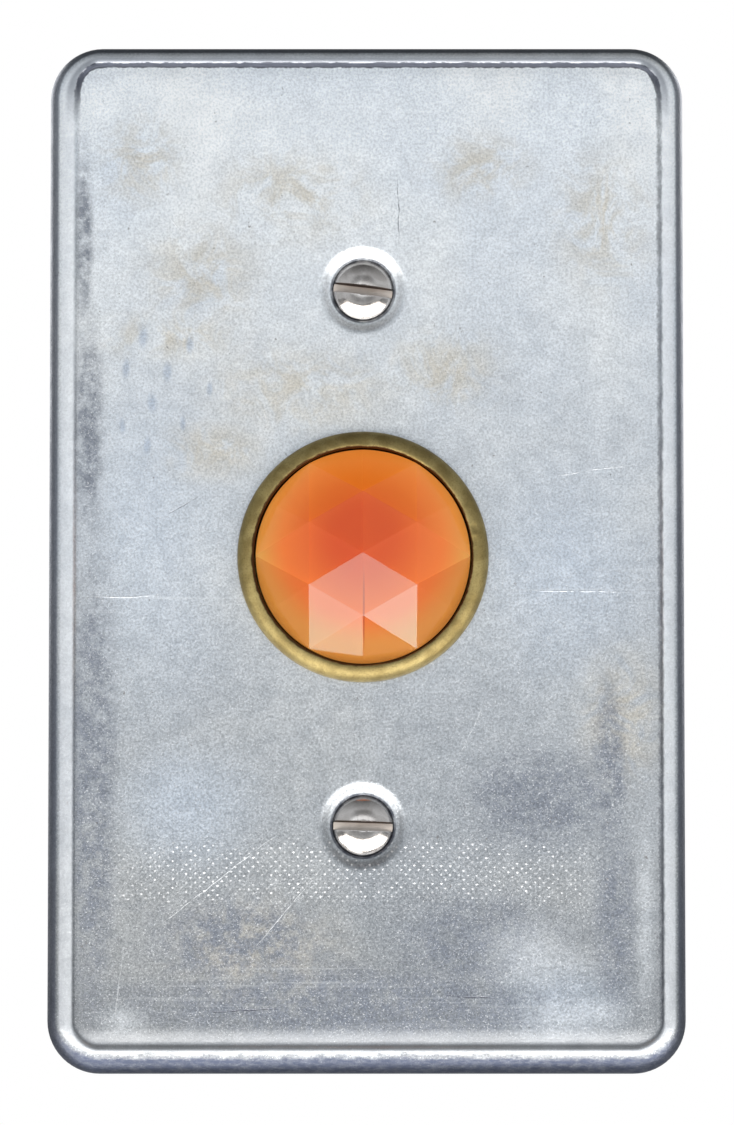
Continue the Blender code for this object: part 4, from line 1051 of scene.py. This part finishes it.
def amber_glass():
    """Amber where the glass is thin at the rim, deepening to orange-red through its middle."""
    m = Finish("amber_glass")
    distance = m.length(m.scaled((1, 0, 1), (0, 0, -1.8)))
    m.start(m.ramp(distance, 2.5, 9.8), (0.66, 0.070, 0.005), (0.82, 0.175, 0.018))
    m.lay((0.69, 0.30, 0.045), m.ramp(distance, 8.5, 12.2))
    facing = m.axes(m.add("ShaderNodeNewGeometry").outputs["True Normal"])
    # painted light and shade: facets facing right or up are made lighter, facets facing down darker
    m.lay((0.86, 0.26, 0.07), m.ramp(facing["X"], -0.5, 0.6, 0.0, 0.12))
    m.lay((1.0, 0.25, 0.012), m.ramp(facing["Z"], 0.35, 0.60, 0.0, 0.5))
    m.lay((0.42, 0.08, 0.035), m.ramp(facing["Z"], -0.10, -0.30, 0.0, 0.32))
    outer = m.ramp(distance, 6.0, 11.0, 0.0, 0.35)
    m.lay((1.0, 0.36, 0.08), m.ramp(facing["Z"], 0.05, 0.22, 0.0, outer))
    # painted dark reflection: a thin dark line running down from the centre
    m.lay((0.40, 0.06, 0.02), m.spot(0.1, -6.2, 0.16, 5.6, core=0.35), 0.72)
    haze = m.bump(m.noise(1.6, 4.0, 0.6), 0.01, 0.1)
    return m.done(
        Base_Color=m.colour(0.62, m.base, (0.0, 0.0, 0.0)),
        Metallic=0.0,
        Roughness=m.uneven(0.05, 0.09, 0.4, 3.0, 0.6),
        Normal=haze,
        IOR=1.62,
        Specular_Tint=(0.45, 0.95, 1.0),
        Subsurface_Weight=1.0,
        Subsurface_Radius=(1.0, 0.8, 0.6),
        Subsurface_Scale=0.006,
        # painted light: the glass glows in its own colour by emission, though no lamp behind it is lit
        Emission_Color=m.base,
        Emission_Strength=0.62,
    )


def cover_screw_nickel():
    """Bright nickel, tarnished on the slot's floor, with painted shade on the slot's walls and in its groove.
    """
    m = Finish("cover_screw_nickel")
    cloud = m.ramp(m.noise(0.5, 5.0, 0.6, (1, 4, 2), 0.5), 0.35, 0.68)
    m.start(cloud, (0.58, 0.535, 0.50), (0.74, 0.695, 0.66))
    slot_soil_and_shade = m.stored("slot_soil_and_shade")
    m.lay((0.62, 0.50, 0.40), m.ramp(slot_soil_and_shade, 0.1, 0.35, 0.0, 0.45))
    # painted shade: near black on the slot's walls and in its groove
    m.lay((0.07, 0.045, 0.035), m.ramp(slot_soil_and_shade, 0.5, 1.0, 0.0, 0.9))
    rough = m.plus(m.uneven(0.10, 0.18, 1.5, 4.0, 0.6, (5, 1, 1)), m.ramp(slot_soil_and_shade, 0.1, 0.35, 0.0, 0.35))
    return m.done(Metallic=1.0, Roughness=rough, Normal=m.bump(m.noise(5.0, 4.0, 0.6), 0.006, 0.4))


def worn_metal(name, dark, light, rough_low, rough_high, grain=3.0, depth=0.02):
    m = Finish(name)
    fine = m.noise(grain, 4.0, 0.6)
    m.start(m.ramp(m.noise(0.5, 5.0, 0.6, (1, 4, 2), 0.5), 0.35, 0.68), dark, light)
    m.lay(dark, m.ramp(fine, 0.58, 0.75, 0.0, 0.4))
    rough = m.uneven(rough_low, rough_high, 1.5, 4.0, 0.6, (5, 1, 1))
    return m.done(Metallic=1.0, Roughness=rough, Normal=m.bump(fine, depth, 0.4))


def moulded(name, dark, light, rough_low, rough_high):
    m = Finish(name)
    fleck = m.noise(2.2, 3.0, 0.6)
    m.start(m.uneven(0.0, 1.0, (0.08, 0.3, 0.08), 5.0, 0.6, (1, 4, 2), 1.5), dark, light)
    m.lay(light, m.ramp(fleck, 0.62, 0.72, 0.0, 0.5))
    rough = m.uneven(rough_low, rough_high, 0.6, 4.0, 0.6, (5, 1, 1))
    return m.done(Metallic=0.0, Roughness=rough, Normal=m.bump(fleck, 0.02, 0.3))


def clear_glass():
    m = Finish("clear_glass")
    m.start(m.uneven(0.0, 1.0, 0.2), (0.93, 0.95, 0.95), (0.97, 0.97, 0.95))
    return m.done(Roughness=m.uneven(0.02, 0.08, 0.8, 3.0, 0.6), Transmission_Weight=1.0, IOR=1.47)


METALS = {  # dark and light colour, lowest and highest roughness, grain's cycles per mm and depth
    "galvanised_steel": ((0.42, 0.44, 0.47), (0.66, 0.69, 0.72), 0.34, 0.5),
    "bright_nickel": ((0.50, 0.46, 0.43), (0.74, 0.70, 0.66), 0.14, 0.28, 5.0, 0.006),
    "spring_steel": ((0.30, 0.30, 0.31), (0.50, 0.50, 0.51), 0.22, 0.36),
    "silver": ((0.62, 0.60, 0.56), (0.86, 0.85, 0.82), 0.22, 0.38),
    "phosphor_bronze": ((0.52, 0.29, 0.17), (0.64, 0.38, 0.23), 0.26, 0.42, 5.0),
    "tungsten": ((0.20, 0.19, 0.18), (0.36, 0.35, 0.33), 0.35, 0.5),
    "solder": ((0.42, 0.43, 0.44), (0.66, 0.67, 0.68), 0.28, 0.45),
}
MOULDINGS = {  # dark and light colour, lowest and highest roughness
    "brown_phenolic": ((0.050, 0.022, 0.013), (0.115, 0.048, 0.026), 0.28, 0.42),
    "black_phenolic": ((0.014, 0.014, 0.015), (0.035, 0.034, 0.033), 0.35, 0.5),
    "seal_rubber": ((0.012, 0.012, 0.012), (0.03, 0.03, 0.03), 0.7, 0.85),
}


def make_finishes():
    """A material for each of the CAD's slots."""
    finishes = {"aged_brass": aged_brass(), "amber_glass": amber_glass(), "clear_glass": clear_glass()}
    finishes |= {name: worn_metal(name, *look) for name, look in METALS.items()}
    return finishes | {name: moulded(name, *look) for name, look in MOULDINGS.items()}


def paint(piece, material):
    piece.data.materials.clear()
    piece.data.materials.append(material)


# ---- stage, lights and camera


def area_light(name, at, target, size, radiance, colour=(1, 1, 1)):
    """A rectangular light aimed at a target; at radiance 1 it is as bright as the white background."""
    data = bpy.data.lights.new(name, "AREA")
    data.shape = "RECTANGLE"
    data.size, data.size_y = size
    data.energy = radiance * pi * size[0] * size[1]
    data.color = colour
    light = make_object(name, data)
    light.location = at
    light.rotation_euler = (Vector(target) - Vector(at)).to_track_quat("-Z", "Y").to_euler()
    light.visible_camera = False
    return light


def build_stage():
    bm = bmesh.new()
    bmesh.ops.create_grid(bm, x_segments=8, y_segments=8, size=1.6)
    floor = make_object("floor", mesh_from(bm, "floor"))
    floor.location = (0, 0.2, -0.34)
    pale = Finish("pale_floor")
    pale.start(pale.uneven(0.0, 1.0, 0.004, 2.0), (0.86, 0.86, 0.87), (0.90, 0.90, 0.90))
    paint(floor, pale.done(Roughness=0.9))


# pairs of (height, brightness): straight down, straight up, then upward between them
MIDDLE_LEVELS = ((-1, 0.3), (1, 0.12), (-0.75, 0.35), (-0.5, 0.6), (-0.25, 0.6), (-0.08, 0.34), (0.0, 0.32),
                 (0.07, 1.1), (0.15, 1.6), (0.22, 0.5), (0.42, 0.30), (0.52, 0.5), (0.72, 0.35))
WING_LEVELS = ((-1, 0.3), (1, 0.12), (-0.6, 0.6), (0.0, 0.62), (0.4, 0.62), (0.72, 0.4))


def build_world():
    """White to the camera; all else sees a room bright above and below and dark round the camera."""
    world = bpy.data.worlds.new("studio")
    bpy.context.scene.world = world
    world.use_nodes = True
    world.node_tree.nodes.clear()
    w = Nodes(world.node_tree, "Generated")
    x, y, z = w.axes(w.place)

    def levels(stops):
        node = w.add("ShaderNodeFloatCurve", {"Value": z})
        curve = node.mapping.curves[0]
        node.mapping.clip_min_x, node.mapping.clip_max_x = -1, 1
        node.mapping.clip_min_y, node.mapping.clip_max_y = 0, 4
        for k, stop in enumerate(stops):
            point = curve.points[k] if k < 2 else curve.points.new(*stop)
            point.location = stop
        node.mapping.update()
        return node.outputs["Value"]

    sides = w.ramp(w.size(x), 0.10, 0.42)
    inputs = {0: sides, 2: levels(MIDDLE_LEVELS), 3: levels(WING_LEVELS)}
    front = w.add("ShaderNodeMix", inputs, data_type="FLOAT").outputs[0]
    strength = w.times(front, w.ramp(y, -0.25, 0.25, 1.0, 0.30))
    room = w.add("ShaderNodeBackground", {"Color": (0.90, 0.95, 1.0), "Strength": strength})
    seen = w.add("ShaderNodeBackground", {"Color": (1, 1, 1)})
    camera_ray = w.add("ShaderNodeLightPath").outputs["Is Camera Ray"]
    pick = w.add("ShaderNodeMixShader", {0: camera_ray, 1: room.outputs[0], 2: seen.outputs[0]})
    w.add("ShaderNodeOutputWorld", {"Surface": pick.outputs[0]})


def build_camera():
    distance, elevation = 0.70, radians(-4.5)
    frame_height = 0.1265
    data = bpy.data.cameras.new("camera")
    data.sensor_width = 36.0
    data.lens = data.sensor_width / 2 / (frame_height / 2 / distance)
    data.clip_start = 0.01
    camera = make_object("camera", data)
    target = Vector((0.00045, -0.004, -0.0005))
    camera.location = target + Vector((0, -cos(elevation), sin(elevation))) * distance
    camera.rotation_euler = (target - camera.location).to_track_quat("-Z", "Y").to_euler()
    bpy.context.scene.camera = camera


def build_lights():
    """Light panels lying in front of and below the object, a narrow gap apart, and a weak pair behind it."""
    far, near, nearest = (-0.90, -0.35), (-0.35, -0.12), (-0.12, -0.02)
    left, right = (-0.60, -0.012), (0.012, 0.60)
    panels = (("panel_left", left, far, 3.1), ("panel_right", right, far, 3.1),
              ("panel_left_near", left, near, 4.2), ("panel_right_near", right, near, 5.0),
              ("panel_left_nearest", (-0.20, -0.012), nearest, 3.2))
    for name, x, y, radiance in panels:
        at = (sum(x) / 2, sum(y) / 2, -0.30)
        panel = area_light(name, at, (0, 0, 0), (x[1] - x[0], y[1] - y[0]), radiance, (1.0, 0.985, 0.96))
        panel.rotation_euler = (pi, 0, 0)
    for name, x in (("rear_left", -0.6), ("rear_right", 0.6)):
        area_light(name, (x, 0.7, 0.3), (0, 0, 0), (0.5, 0.5), 2.4)


# ---- build


def build():
    bpy.context.scene.view_settings.view_transform = "Standard"
    build_stage()
    build_world()
    build_camera()
    build_lights()
    finishes = make_finishes()
    for name, node in frame["nodes"].items():
        paint(node, finishes[SLOT_OF[name]])
    build_inner_pieces()
    for piece in bpy.context.scene.objects:
        if piece.name.endswith("_piece"):
            paint(piece, finishes[piece["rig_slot"]])
    paint(build_cover(), galvanised_cover())
    paint(build_bezel(), aged_brass("bezel_brass", lip=BEZEL_BORE + 0.03))
    paint(build_jewel(), finishes["amber_glass"])
    nickel = cover_screw_nickel()
    paint(oval_screw("top", 1, 7), nickel)
    paint(oval_screw("bottom", -1, 2), nickel)


build()
